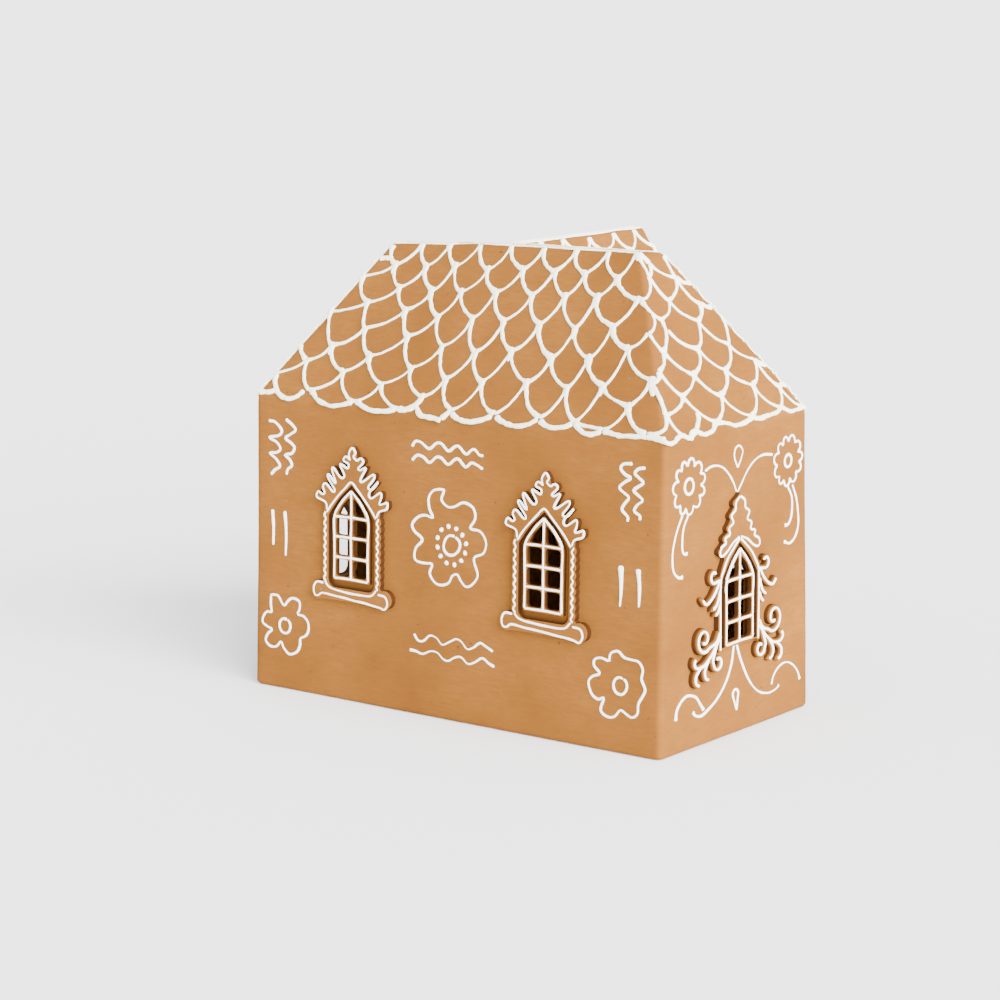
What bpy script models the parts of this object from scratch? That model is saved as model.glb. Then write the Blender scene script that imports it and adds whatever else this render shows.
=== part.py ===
"""Gingerbread-house lantern: one hollow body of fired clay on a T-shaped plan, open underneath.

The walls lean in a little, the roof rises straight from their top edges to a blunt crest, and a
gabled wing of the same height stands out at the back. Seven windows stand proud of the walls. Each
is a moulded plate with a cut-through grille, save that the left end's is open. The two end windows
carry scrolls on both sides.

Units are metres, +Z is up, and -Y is the front.
"""
import math
from typing import NamedTuple

import bmesh
import bpy
from mathutils import Matrix, Vector

MM = 0.001

# Main block, measured from its own centre line.
BASE_LENGTH = 240.0 * MM
BASE_DEPTH = 124.0 * MM
EAVE_LENGTH = 238.4 * MM
EAVE_DEPTH = 116.4 * MM
EAVE_HEIGHT = 142.7 * MM
WALL = 4.0 * MM
SECTION_SHIFT = -26.0 * MM          # the main block's centre line, from the middle of the whole plan

# Wing at the back.
WING_CENTRE = -11.0 * MM
WING_BASE_WIDTH = 102.0 * MM
WING_EAVE_WIDTH = 100.0 * MM
WING_BASE_REACH = 114.0 * MM        # from the main block's centre line to the gable, at the floor
WING_EAVE_REACH = 110.0 * MM
WING_CREST_REACH = 108.0 * MM

# Blunt crest on top of the roof.
CREST_LEFT = -79.0 * MM
CREST_RIGHT_FRONT = 66.5 * MM
CREST_RIGHT_BACK = 72.5 * MM
CREST_FRONT = -3.0 * MM
CREST_BACK = 6.5 * MM
CREST_WING_HALF = 3.0 * MM
CREST_HEIGHT_LEFT = 213.4 * MM
CREST_HEIGHT_WING = 216.4 * MM
CREST_HEIGHT_RIGHT = 217.2 * MM

# The inner surface: how far the slopes' inner faces sit below and inside the outer ones.
INNER_EAVE_DROP = 1.2 * MM
INNER_CREST_DROP = 6.0 * MM
INNER_CREST_INSET = 0.5 * MM

# Moulded windows.
PLATE_ROOT = 1.5 * MM               # how far a plate is sunk into the wall
FRONT_RELIEF = 3.2 * MM
END_RELIEF = 2.8 * MM
SCROLL_RELIEF = 2.5 * MM
STROKE_STEP = 0.07 * MM             # each stroke of a scroll lies this much lower than the last
GRILLE_THICKNESS = 3.0 * MM
GROOVE_DEPTH = 1.8 * MM
BAR = 2.0 * MM                      # width of a grille bar
CUT_REACH = 9.0 * MM                # how far a cutter runs past the wall

FRONT_WINDOW_X = 56.4 * MM
FRONT_SILL_HEIGHT = 60.0 * MM       # height of the grille's bottom bar
END_WINDOW_OFFSET = -2.5 * MM
END_SILL_HEIGHT = 44.0 * MM
GRILLED_END = 1                     # the right end window has a grille, the left one is open
BACK_WINDOW_RIGHT_X = 79.0 * MM
BACK_WINDOW_LEFT_X = -90.5 * MM


class Level(NamedTuple):
    """The T-shaped plan at one height, with a height of its own at the left, the wing and the right."""
    left: float
    right_front: float
    right_back: float
    front: float
    back: float
    wing_left: float
    wing_right: float
    reach: float
    z_left: float
    z_wing: float
    z_right: float

    def corners(self):
        """The nine corners, anticlockwise from the front left."""
        middle = (self.wing_left + self.wing_right) / 2
        plan = [
            (self.left, self.front, self.z_left),
            (middle, self.front, self.z_wing),
            (self.right_front, self.front, self.z_right),
            (self.right_back, self.back, self.z_right),
            (self.wing_right, self.back, self.z_wing),
            (self.wing_right, self.reach, self.z_wing),
            (self.wing_left, self.reach, self.z_wing),
            (self.wing_left, self.back, self.z_wing),
            (self.left, self.back, self.z_left),
        ]
        return [Vector((x, y + SECTION_SHIFT, z)) for x, y, z in plan]

    def inset(self, by, drop=0.0, reach_by=None):
        """The same plan, drawn in on every side and lowered."""
        return Level(
            self.left + by, self.right_front - by, self.right_back - by,
            self.front + by, self.back - by, self.wing_left + by, self.wing_right - by,
            self.reach - (by if reach_by is None else reach_by),
            self.z_left - drop, self.z_wing - drop, self.z_right - drop)


# The crest's four flat parts, as places in Level.corners: left, middle, right and wing.
CREST_FACES = ((0, 1, 7, 8), (1, 4, 7), (1, 2, 3, 4), (4, 5, 6, 7))


def block_level(length, depth, wing_width, reach, height):
    """A level of the plan where every side runs straight and level."""
    return Level(
        -length / 2, length / 2, length / 2, -depth / 2, depth / 2,
        WING_CENTRE - wing_width / 2, WING_CENTRE + wing_width / 2, reach,
        height, height, height)


BASE = block_level(BASE_LENGTH, BASE_DEPTH, WING_BASE_WIDTH, WING_BASE_REACH, 0.0)
EAVE = block_level(EAVE_LENGTH, EAVE_DEPTH, WING_EAVE_WIDTH, WING_EAVE_REACH, EAVE_HEIGHT)
CREST = Level(
    CREST_LEFT, CREST_RIGHT_FRONT, CREST_RIGHT_BACK, CREST_FRONT, CREST_BACK,
    WING_CENTRE - CREST_WING_HALF, WING_CENTRE + CREST_WING_HALF, WING_CREST_REACH,
    CREST_HEIGHT_LEFT, CREST_HEIGHT_WING, CREST_HEIGHT_RIGHT)


def clear_scene():
    """Remove every object of the open file."""
    for item in list(bpy.data.objects):
        bpy.data.objects.remove(item, do_unlink=True)


def clay_material():
    """Matt brown fired clay."""
    material = bpy.data.materials.new("fired_clay")
    material.use_nodes = True
    shader = material.node_tree.nodes["Principled BSDF"]
    shader.inputs["Base Color"].default_value = (0.58, 0.31, 0.135, 1.0)
    shader.inputs["Roughness"].default_value = 0.85
    shader.inputs["Metallic"].default_value = 0.0
    return material


def add_object(name, mesh_builder):
    """Link a new object whose mesh is the given bmesh."""
    mesh = bpy.data.meshes.new(name)
    mesh_builder.to_mesh(mesh)
    mesh_builder.free()
    item = bpy.data.objects.new(name, mesh)
    bpy.context.scene.collection.objects.link(item)
    return item


def shell():
    """The hollow house: outer levels up to the crest, inner levels below them, and the foot between."""
    builder = bmesh.new()
    outer = [[builder.verts.new(p) for p in level.corners()] for level in (BASE, EAVE, CREST)]
    inner_levels = (
        BASE.inset(WALL),
        EAVE.inset(WALL, INNER_EAVE_DROP),
        CREST.inset(INNER_CREST_INSET, INNER_CREST_DROP, reach_by=WALL))
    inner = [[builder.verts.new(p) for p in level.corners()] for level in inner_levels]
    skin = list(reversed(inner)) + outer
    count = len(outer[0])
    for lower, upper in zip(skin, skin[1:]):
        for i in range(count):
            j = (i + 1) % count
            builder.faces.new((lower[i], lower[j], upper[j], upper[i]))
    for part in CREST_FACES:
        builder.faces.new([outer[-1][i] for i in part])
        builder.faces.new([inner[-1][i] for i in reversed(part)])
    bmesh.ops.triangulate(builder, faces=builder.faces[:])
    bmesh.ops.recalc_face_normals(builder, faces=builder.faces[:])
    return add_object("house", builder)


def wall_frame(across, base_point, eave_point, height):
    """A window's frame: across the wall, up its face, and outwards, at a height above the floor."""
    across = Vector(across)
    up = (Vector(eave_point) - Vector(base_point)).normalized()
    out = across.cross(up)
    origin = Vector(base_point) + up * (height / up.z)
    frame = Matrix((across, up, out)).transposed().to_4x4()
    frame.translation = origin
    return frame


def front_wall(x):
    """Frame of a window in the front wall."""
    y_base = SECTION_SHIFT - BASE_DEPTH / 2
    y_eave = SECTION_SHIFT - EAVE_DEPTH / 2
    return wall_frame((1, 0, 0), (x, y_base, 0), (x, y_eave, EAVE_HEIGHT), FRONT_SILL_HEIGHT)


def back_wall(x):
    """Frame of a window in the back wall, beside the wing."""
    y_base = SECTION_SHIFT + BASE_DEPTH / 2
    y_eave = SECTION_SHIFT + EAVE_DEPTH / 2
    return wall_frame((-1, 0, 0), (x, y_base, 0), (x, y_eave, EAVE_HEIGHT), FRONT_SILL_HEIGHT)


def wing_gable():
    """Frame of the window in the wing's gable."""
    y_base = SECTION_SHIFT + WING_BASE_REACH
    y_eave = SECTION_SHIFT + WING_EAVE_REACH
    x = WING_CENTRE
    return wall_frame((-1, 0, 0), (x, y_base, 0), (x, y_eave, EAVE_HEIGHT), FRONT_SILL_HEIGHT)


def end_wall(side):
    """Frame of the window in the right (side 1) or left (side -1) end wall."""
    y = SECTION_SHIFT + END_WINDOW_OFFSET
    base_point = (side * BASE_LENGTH / 2, y, 0)
    eave_point = (side * EAVE_LENGTH / 2, y, EAVE_HEIGHT)
    return wall_frame((0, side, 0), base_point, eave_point, END_SILL_HEIGHT)


def mirrored(half):
    """A closed outline from its right half, which runs from the top down to the bottom."""
    left = [(-u, v) for u, v in reversed(half) if u > 1e-9]
    return [(u * MM, v * MM) for u, v in reversed(half + left)]


def arc(centre, radius, start, stop, steps):
    """Points on an arc, angles in degrees."""
    points = []
    for k in range(steps + 1):
        angle = math.radians(start + (stop - start) * k / steps)
        points.append((centre[0] + radius * math.cos(angle), centre[1] + radius * math.sin(angle)))
    return points


def between(a, b, t):
    """The point a share t of the way from a to b."""
    return (a[0] + (b[0] - a[0]) * t, a[1] + (b[1] - a[1]) * t)


def pointed_arch(half_width, bottom, spring, apex, corner=0.0, bulge=0.8):
    """Closed outline of a lancet opening, with round bottom corners and slightly bowed top sides."""
    middle = between((0, apex), (half_width, spring), 0.5)
    half = [(0, apex), (middle[0] + bulge * 0.75, middle[1] + bulge * 0.65), (half_width, spring)]
    if corner:
        half += arc((half_width - corner, bottom + corner), corner, 0, -90, 4)
    else:
        half.append((half_width, bottom))
    return mirrored(half)


def fingers(count=6):
    """Crocket fingers down the right side of a window's gable, in millimetres."""
    first_tip, last_tip = (5.6, 59.4), (21.8, 39.0)
    first_notch, last_notch = (3.4, 54.4), (15.2, 37.8)
    radius = 1.35
    points = []
    for k in range(count):
        tip = between(first_tip, last_tip, k / (count - 1))
        points += arc(tip, radius, 115, -65, 2)
        if k < count - 1:
            notch = between(first_notch, last_notch, k / (count - 2))
            points.append((notch[0], notch[1] - 1.0))
    return points


def scalloped_side(top, bottom, half_width, count=9, depth=0.9):
    """Small round bumps down the right side of a window."""
    pitch = (top - bottom) / count
    points = []
    for k in range(count):
        v = top - pitch * k
        points += [(half_width, v), (half_width + depth, v - pitch / 2)]
    points.append((half_width, bottom))
    return points


def front_plate():
    """Outline of a front window's plate: finial, fingers, scalloped sides and a bone-shaped sill."""
    finial = [(0, 64.4), (2.6, 61.4), (1.5, 58.8)]
    shoulder = [(20.4, 35.4), (17.4, 33.4)]
    sides = scalloped_side(31.0, -2.4, 16.6)
    sill_end = arc((20.3, -6.7), 4.3, 120, -115, 6)
    return mirrored(finial + fingers() + shoulder + sides + sill_end + [(15.5, -9.8), (0, -9.8)])


def end_plate():
    """Outline of an end window's plate: a scalloped tree-shaped crown above a plain frame."""
    half = [(0, 68.4), (1.4, 67.2)]
    bumps = [(3.9, 64.4), (6.9, 58.9), (8.9, 53.4), (12.2, 49.2), (15.7, 43.9)]
    for k, bump in enumerate(bumps):
        half += arc(bump, 1.7, 75, -60, 3)
        if k < len(bumps) - 1:
            inner = between(bump, bumps[k + 1], 0.5)
            half.append((inner[0] - 0.6, inner[1] - 0.3))
    half += [(12.6, 41.6), (12.0, 40.4), (14.9, 35.6), (17.1, 30.3), (17.1, -2.0), (0, -2.0)]
    return mirrored(half)


def panes(half_width, heights, apex):
    """Outlines of the cut-through panes: two columns of rows and two halves of the pointed top."""
    inset = BAR / MM / 2
    outlines = []
    for side in (1, -1):
        for low, high in zip(heights, heights[1:]):
            corners = [(inset, low + inset), (half_width - inset, low + inset),
                       (half_width - inset, high - inset), (inset, high - inset)]
            outlines.append([(side * u * MM, v * MM) for u, v in corners])
        spring = heights[-1]
        top = [(inset, spring + inset), (half_width - 2.1, spring + inset),
               (half_width * 0.53, spring + (apex - spring) * 0.46), (inset, apex - 2.6)]
        outlines.append([(side * u * MM, v * MM) for u, v in top])
    return outlines


def smooth_path(points, steps=2):
    """A Catmull-Rom curve through the points."""
    ends = [between(points[1], points[0], 2.0)] + list(points) + [between(points[-2], points[-1], 2.0)]
    path = []
    for a, b, c, d in zip(ends, ends[1:], ends[2:], ends[3:]):
        for k in range(steps):
            t = k / steps
            path.append(tuple(
                0.5 * (2 * b[i] + (c[i] - a[i]) * t + (2 * a[i] - 5 * b[i] + 4 * c[i] - d[i]) * t ** 2
                       + (3 * b[i] - a[i] - 3 * c[i] + d[i]) * t ** 3) for i in (0, 1)))
    path.append(points[-1])
    return path


def spiral(centre, start_radius, end_radius, start_angle, turn, steps):
    """Points of a spiral, angles in degrees."""
    points = []
    for k in range(steps + 1):
        t = k / steps
        radius = start_radius + (end_radius - start_radius) * t
        angle = math.radians(start_angle + turn * t)
        points.append((centre[0] + radius * math.cos(angle), centre[1] + radius * math.sin(angle)))
    return points


def scroll_strokes():
    """The strokes right of an end window, each a path in millimetres with its first and last width."""
    curl = [(15.6, 31.0)] + spiral((21.4, 33.4), 3.2, 1.7, -115, 250, 5)
    sweep = smooth_path([(16.6, 31.0), (19.8, 26.5), (23.5, 23.3), (27.8, 21.8), (31.3, 25.0)])
    upper_leaf = [(16.6, 26.0), (18.7, 20.7), (23.0, 17.5)]
    lower_leaf = [(16.6, 19.6), (18.0, 16.6), (20.4, 15.1)]
    volute = [(16.6, 6.4), (19.5, 2.8)] + spiral((29.2, 5.7), 5.9, 1.5, -135, 440, 11)
    long_leaf = smooth_path([(16.4, 4.0), (22.5, -1.7), (28.5, -5.7), (34.6, -6.2), (36.9, -3.9),
                             (35.3, -1.3)])
    outer_leaf = smooth_path([(31.0, -6.0), (35.4, -9.5), (35.4, -13.2), (32.0, -15.0)])
    middle_leaf = smooth_path([(24.8, -3.5), (28.4, -8.3), (27.6, -12.2), (24.6, -13.3)])
    small_curl = [(19.6, 1.0), (21.9, -4.6)] + spiral((17.6, -6.6), 3.9, 1.7, 0, -300, 6)
    return [
        (curl, 3.2, 2.6), (sweep, 3.4, 2.8), (upper_leaf, 3.0, 2.4), (lower_leaf, 3.0, 2.4),
        (volute, 3.6, 2.8), (long_leaf, 3.2, 2.8), (outer_leaf, 3.0, 2.8), (middle_leaf, 3.0, 2.8),
        (small_curl, 3.0, 2.6)]


def stroke_outline(points, first_width, last_width, side):
    """Closed outline of a flat stroke that runs along a path and ends in a blunt point."""
    path = [(side * u, v) for u, v in points]
    last = len(path) - 1
    right, left = [], []
    for i, point in enumerate(path):
        before, after = path[max(i - 1, 0)], path[min(i + 1, last)]
        run = Vector((after[0] - before[0], after[1] - before[1])).normalized()
        half = (first_width + (last_width - first_width) * i / last) / 2
        right.append((point[0] + run.y * half, point[1] - run.x * half))
        left.append((point[0] - run.y * half, point[1] + run.x * half))
        if i == last:
            right.append((point[0] + run.x * half, point[1] + run.y * half))
    return [(u * MM, v * MM) for u, v in right + left[::-1]]


def add_prism(builder, frame, outline, low, high):
    """A closed prism of a flat outline, from low to high along the frame's outward axis."""
    area = sum(a[0] * b[1] - b[0] * a[1] for a, b in zip(outline, outline[1:] + outline[:1]))
    if area < 0:
        outline = outline[::-1]
    bottom = [builder.verts.new(frame @ Vector((u, v, low))) for u, v in outline]
    top = [builder.verts.new(frame @ Vector((u, v, high))) for u, v in outline]
    builder.faces.new(bottom[::-1])
    builder.faces.new(top)
    count = len(outline)
    for i in range(count):
        j = (i + 1) % count
        builder.faces.new((bottom[i], bottom[j], top[j], top[i]))


def add_ring(builder, frame, outer, inner, low, high):
    """A closed ring between two outlines that have equal numbers of points."""
    loops = []
    for outline, depth in ((outer, low), (outer, high), (inner, high), (inner, low)):
        loops.append([builder.verts.new(frame @ Vector((u, v, depth))) for u, v in outline])
    count = len(outer)
    for first, second in zip(loops, loops[1:] + loops[:1]):
        for i in range(count):
            j = (i + 1) % count
            builder.faces.new((first[i], first[j], second[j], second[i]))


def guide(name, builder):
    """A hidden object that only adds to or cuts from the house."""
    bmesh.ops.recalc_face_normals(builder, faces=builder.faces[:])
    item = add_object(name, builder)
    item.hide_render = True
    item.display_type = "WIRE"
    return item


def combine(house, other, operation, solver="EXACT"):
    """Add a Boolean modifier to the house."""
    modifier = house.modifiers.new(other.name, "BOOLEAN")
    modifier.operation = operation
    modifier.object = other
    modifier.solver = solver


def build_windows(house):
    """Mould the windows onto the house, clear the wall behind them, cut grooves and panes, add scrolls."""
    plates, scrolls, grooves, pockets, holes = [bmesh.new() for _ in range(5)]

    front_frames = [front_wall(-FRONT_WINDOW_X), front_wall(FRONT_WINDOW_X),
                    back_wall(BACK_WINDOW_RIGHT_X), back_wall(BACK_WINDOW_LEFT_X), wing_gable()]
    for frame in front_frames:
        add_prism(plates, frame, front_plate(), -PLATE_ROOT, FRONT_RELIEF)
        add_ring(grooves, frame, pointed_arch(13.1, -4.6, 28.4, 44.6, 4.0),
                 pointed_arch(12.0, -3.5, 28.2, 42.8, 3.0),
                 FRONT_RELIEF - GROOVE_DEPTH, FRONT_RELIEF + MM)
        add_prism(pockets, frame, pointed_arch(11.4, -1.2, 29.0, 42.6), -CUT_REACH,
                  FRONT_RELIEF - GRILLE_THICKNESS)
        for outline in panes(10.3, (0.0, 10.1, 19.9, 29.6), 42.0):
            add_prism(holes, frame, outline, -CUT_REACH, FRONT_RELIEF + MM)

    for side in (1, -1):
        frame = end_wall(side)
        add_prism(plates, frame, end_plate(), -PLATE_ROOT, END_RELIEF)
        if side == GRILLED_END:
            add_ring(grooves, frame, pointed_arch(14.9, -4.0, 30.0, 45.6),
                     pointed_arch(12.6, -3.0, 29.4, 43.2),
                     END_RELIEF - GROOVE_DEPTH, END_RELIEF + MM)
            add_prism(pockets, frame, pointed_arch(12.0, -1.2, 29.4, 42.8), -CUT_REACH,
                      END_RELIEF - GRILLE_THICKNESS)
            for outline in panes(10.9, (0.0, 10.1, 19.8, 29.4), 42.4):
                add_prism(holes, frame, outline, -CUT_REACH, END_RELIEF + MM)
        else:
            add_prism(holes, frame, pointed_arch(14.4, -0.6, 29.4, 44.0, 4.0), -CUT_REACH,
                      END_RELIEF + MM)
        for hand in (1, -1):
            for order, (path, first_width, last_width) in enumerate(scroll_strokes()):
                outline = stroke_outline(path, first_width, last_width, hand)
                add_prism(scrolls, frame, outline, -PLATE_ROOT, SCROLL_RELIEF - STROKE_STEP * order)

    combine(house, guide("moulded_plates", plates), "UNION")
    combine(house, guide("cut_pockets", pockets), "DIFFERENCE")
    combine(house, guide("cut_grooves", grooves), "DIFFERENCE")
    combine(house, guide("cut_panes", holes), "DIFFERENCE")
    combine(house, guide("moulded_scrolls", scrolls), "UNION", "MANIFOLD")


def main():
    """Build the house."""
    clear_scene()
    house = shell()
    house.data.materials.append(clay_material())
    build_windows(house)


main()
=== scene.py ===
"""Gingerbread-house lantern: a hollow house of brown clay with moulded windows and piped white slip.

The house is worked out in millimetres from the main block's centre line, and put in place from the
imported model's box when a mesh is made.
"""
from __future__ import annotations

import logging
import math
from dataclasses import dataclass, field
from enum import Enum

import bpy
import numpy as np
from mathutils import Matrix, Vector
from mathutils.geometry import tessellate_polygon


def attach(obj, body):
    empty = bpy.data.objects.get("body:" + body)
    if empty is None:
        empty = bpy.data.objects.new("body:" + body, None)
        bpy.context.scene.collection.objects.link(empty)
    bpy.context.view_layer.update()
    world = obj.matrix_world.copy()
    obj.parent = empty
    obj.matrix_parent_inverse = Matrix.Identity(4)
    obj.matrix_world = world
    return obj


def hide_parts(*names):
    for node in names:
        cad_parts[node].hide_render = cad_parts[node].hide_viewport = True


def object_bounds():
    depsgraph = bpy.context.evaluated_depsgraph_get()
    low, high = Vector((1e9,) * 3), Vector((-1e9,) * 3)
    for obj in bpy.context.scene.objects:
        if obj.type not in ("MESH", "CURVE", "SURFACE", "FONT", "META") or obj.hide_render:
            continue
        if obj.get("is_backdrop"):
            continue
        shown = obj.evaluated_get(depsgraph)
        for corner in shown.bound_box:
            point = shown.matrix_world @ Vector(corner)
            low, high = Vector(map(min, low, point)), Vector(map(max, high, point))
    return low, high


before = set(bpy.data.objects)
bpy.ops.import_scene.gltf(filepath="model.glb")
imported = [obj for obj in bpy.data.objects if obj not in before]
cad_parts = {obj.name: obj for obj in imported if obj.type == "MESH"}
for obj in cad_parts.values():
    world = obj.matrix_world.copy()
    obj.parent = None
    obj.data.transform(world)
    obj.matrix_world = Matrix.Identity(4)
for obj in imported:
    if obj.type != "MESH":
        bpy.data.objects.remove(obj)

log = logging.getLogger("gingerbread_house")
Array = np.ndarray

MM = 0.001
PAINTED_SHADE = "painted_shade"                   # name of the attribute that holds painted shade from 0 to 1: how far the clay is darkened where a moulding's sides and crevices lie in shade
CAD_LOW, CAD_HIGH = (np.array(corner, float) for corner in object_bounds())
SECTION_SHIFT = -26.0               # the main block's centre line, from the middle of the whole plan
ORIGIN = np.array([(CAD_LOW[0] + CAD_HIGH[0]) / 2,
                   (CAD_LOW[1] + CAD_HIGH[1]) / 2 + SECTION_SHIFT * MM,
                   CAD_LOW[2]])


# ---------------------------------------------------------------------------------------------
# Small numpy helpers
# ---------------------------------------------------------------------------------------------

def unit(vectors: Array) -> Array:
    """Vectors divided by their lengths, along the last axis."""
    return vectors / np.maximum(np.linalg.norm(vectors, axis=-1, keepdims=True), 1e-12)


def smooth_curve(points: Array, per_span: int = 8) -> Array:
    """A Catmull-Rom curve: on each span the cubic whose end slopes are half the chord of the neighbours.

    Args:
        points: Points to pass through, one per row.
        per_span: Samples on each span.

    Returns:
        Points along the curve, with the last given point at its end.
    """
    points = np.asarray(points, float)
    ends = np.vstack([2 * points[0] - points[1], points, 2 * points[-1] - points[-2]])
    a, b, c, d = ends[:-3, None], ends[1:-2, None], ends[2:-1, None], ends[3:, None]
    t = (np.arange(per_span) / per_span)[None, :, None]
    curve = 0.5 * (2 * b + (c - a) * t + (2 * a - 5 * b + 4 * c - d) * t ** 2 + (3 * b - a - 3 * c + d) * t ** 3)
    return np.vstack([curve.reshape(-1, points.shape[1]), points[-1:]])


def along(points: Array) -> Array:
    """Distance from the first point to each point of a path."""
    steps = np.linalg.norm(np.diff(points, axis=0), axis=1)
    return np.concatenate([[0.0], np.cumsum(steps)])


def resample(points: Array, distances: Array) -> Array:
    """Points of a path at given distances from its start, by straight interpolation."""
    run = along(points)
    return np.stack([np.interp(distances, run, points[:, k]) for k in range(points.shape[1])], axis=1)


def wander(distances: Array, pitch: float, seed: int) -> Array:
    """A smooth random wave between -1 and 1: seeded knots a pitch apart, joined by a raised cosine.

    Args:
        distances: Places along a line, in millimetres.
        pitch: Distance between knots.
        seed: Seed of the knots.

    Returns:
        One value per distance.
    """
    place = distances / pitch
    knots = np.random.default_rng(seed).uniform(-1, 1, int(place.max()) + 3)
    low = np.floor(place).astype(int)
    share = 0.5 - 0.5 * np.cos(np.pi * (place - low))
    return knots[low] * (1 - share) + knots[low + 1] * share


def unevenness(points: Array) -> Array:
    """How far a hand-worked face stands off true, in millimetres: a sum of slow waves in x, y and z."""
    x, y, z = points[..., 0], points[..., 1], points[..., 2]
    slow = np.sin(x / 31 + z / 43 + 0.7) * np.cos(y / 37 - z / 53 + 1.9) + 0.6 * np.sin(x / 17 - z / 23 + y / 19)
    quick = np.sin(x / 6.1 + z / 8.3 + 2.1) * np.sin(y / 7.7 - z / 5.9 + 0.4) * np.cos((x + y) / 11.3)
    return 0.2 * slow + 0.07 * quick


@dataclass
class MeshParts:
    """Vertices and faces gathered from several surfaces, in millimetres, with how much painted shade each vertex gets.
    """
    vertices: list[Array] = field(default_factory=list)
    faces: list[tuple[int, ...]] = field(default_factory=list)
    painted_shade: list[Array] = field(default_factory=list)
    count: int = 0

    def add(self, vertices: Array, faces: list[tuple[int, ...]], painted_shade: Array | None = None) -> None:
        """Add one surface, with painted shade from 0 to 1 at each vertex if it has any."""
        self.faces.extend(tuple(i + self.count for i in face) for face in faces)
        self.vertices.append(vertices)
        self.painted_shade.append(np.zeros(len(vertices)) if painted_shade is None else painted_shade)
        self.count += len(vertices)

    def to_object(self, name: str, sharp_deg: float = 45.0) -> bpy.types.Object:
        """Make a smooth-shaded object at the origin, with edges sharper than an angle kept sharp."""
        points = np.vstack(self.vertices) * MM + ORIGIN
        mesh = bpy.data.meshes.new(name)
        mesh.from_pydata(points.tolist(), [], self.faces)
        painted_shade = np.concatenate(self.painted_shade)
        # Store the painted shade as a point attribute, for the clay material to darken by.
        if painted_shade.any():
            mesh.attributes.new(PAINTED_SHADE, "FLOAT", "POINT").data.foreach_set("value", painted_shade)
        mesh.validate()
        mesh.shade_smooth()
        mesh.set_sharp_from_angle(angle=math.radians(sharp_deg))
        item = bpy.data.objects.new(name, mesh)
        bpy.context.scene.collection.objects.link(item)
        return item


def strip_faces(rows: int, columns: int, closed: bool = True) -> list[tuple[int, ...]]:
    """Faces of a grid of rows by columns, each four corners, wrapped across the columns when closed."""
    wide = columns if closed else columns - 1
    r, c = np.meshgrid(np.arange(rows - 1), np.arange(wide), indexing="ij")
    after = (c + 1) % columns
    quads = np.stack([r * columns + c, r * columns + after, (r + 1) * columns + after, (r + 1) * columns + c], -1)
    return [tuple(face) for face in quads.reshape(-1, 4).tolist()]


def cap_faces(loops: list[Array], starts: list[int], up: bool) -> list[tuple[int, ...]]:
    """Triangles that fill flat loops, the first of them outside and the others holes.

    Args:
        loops: Flat outlines.
        starts: Number of each outline's first vertex.
        up: Whether the faces look along +Z of the outlines' plane.

    Returns:
        The triangles.
    """
    flat = [[Vector((p[0], p[1], 0.0)) for p in loop] for loop in loops]
    numbers = np.concatenate([np.arange(len(loop)) + start for loop, start in zip(loops, starts)])
    places = np.vstack(loops)
    triangles = np.array(tessellate_polygon(flat))
    a, b, c = (places[triangles[:, k]] for k in range(3))
    area = (b[:, 0] - a[:, 0]) * (c[:, 1] - a[:, 1]) - (b[:, 1] - a[:, 1]) * (c[:, 0] - a[:, 0])
    turn = (area > 0) != up
    triangles[turn] = triangles[turn][:, ::-1]
    return [tuple(face) for face in numbers[triangles].tolist()]


# ---------------------------------------------------------------------------------------------
# Finishes
# ---------------------------------------------------------------------------------------------

class Slot(Enum):
    """Material slots of the part."""
    CLAY = "clay"
    ICING = "icing"


@dataclass
class NodeBench:
    """A short way to lay out shader nodes."""
    material: bpy.types.Material

    def node(self, kind: str, **inputs: object) -> bpy.types.Node:
        """Add a node and set its inputs by name, with underscores for spaces."""
        made = self.material.node_tree.nodes.new(kind)
        for key, value in inputs.items():
            made.inputs[key.replace("_", " ")].default_value = value
        return made

    def link(self, source: bpy.types.NodeSocket, target: bpy.types.NodeSocket) -> None:
        """Join two sockets."""
        self.material.node_tree.links.new(source, target)

    def noise(self, place: bpy.types.NodeSocket, scale: float, detail: float = 3.0,
              roughness: float = 0.55) -> bpy.types.NodeSocket:
        """A noise pattern read at a place."""
        made = self.node("ShaderNodeTexNoise", Scale=scale, Detail=detail, Roughness=roughness)
        self.link(place, made.inputs["Vector"])
        return made.outputs["Fac"]

    def spread(self, value: bpy.types.NodeSocket, low: float, high: float,
               to_low: float = 0.0, to_high: float = 1.0) -> bpy.types.NodeSocket:
        """Stretch a value from one range to another, clamped."""
        made = self.node("ShaderNodeMapRange")
        for key, number in (("From Min", low), ("From Max", high), ("To Min", to_low), ("To Max", to_high)):
            made.inputs[key].default_value = number
        self.link(value, made.inputs["Value"])
        return made.outputs["Result"]

    def blend(self, share: bpy.types.NodeSocket | float, first: object, second: object,
              mode: str = "MIX") -> bpy.types.NodeSocket:
        """Blend two colours, each a socket or a colour."""
        made = self.material.node_tree.nodes.new("ShaderNodeMix")
        made.data_type = "RGBA"
        made.blend_type = mode
        for socket, value in ((made.inputs[0], share), (made.inputs[6], first), (made.inputs[7], second)):
            if isinstance(value, bpy.types.NodeSocket):
                self.link(value, socket)
            else:
                socket.default_value = value
        return made.outputs[2]

    def bump(self, height: bpy.types.NodeSocket, strength: float, distance: float,
             normal: bpy.types.NodeSocket | None = None) -> bpy.types.NodeSocket:
        """A bump from a height."""
        made = self.node("ShaderNodeBump", Strength=strength, Distance=distance)
        self.link(height, made.inputs["Height"])
        if normal is not None:
            self.link(normal, made.inputs["Normal"])
        return made.outputs["Normal"]


Colour = tuple[float, float, float, float]


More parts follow.
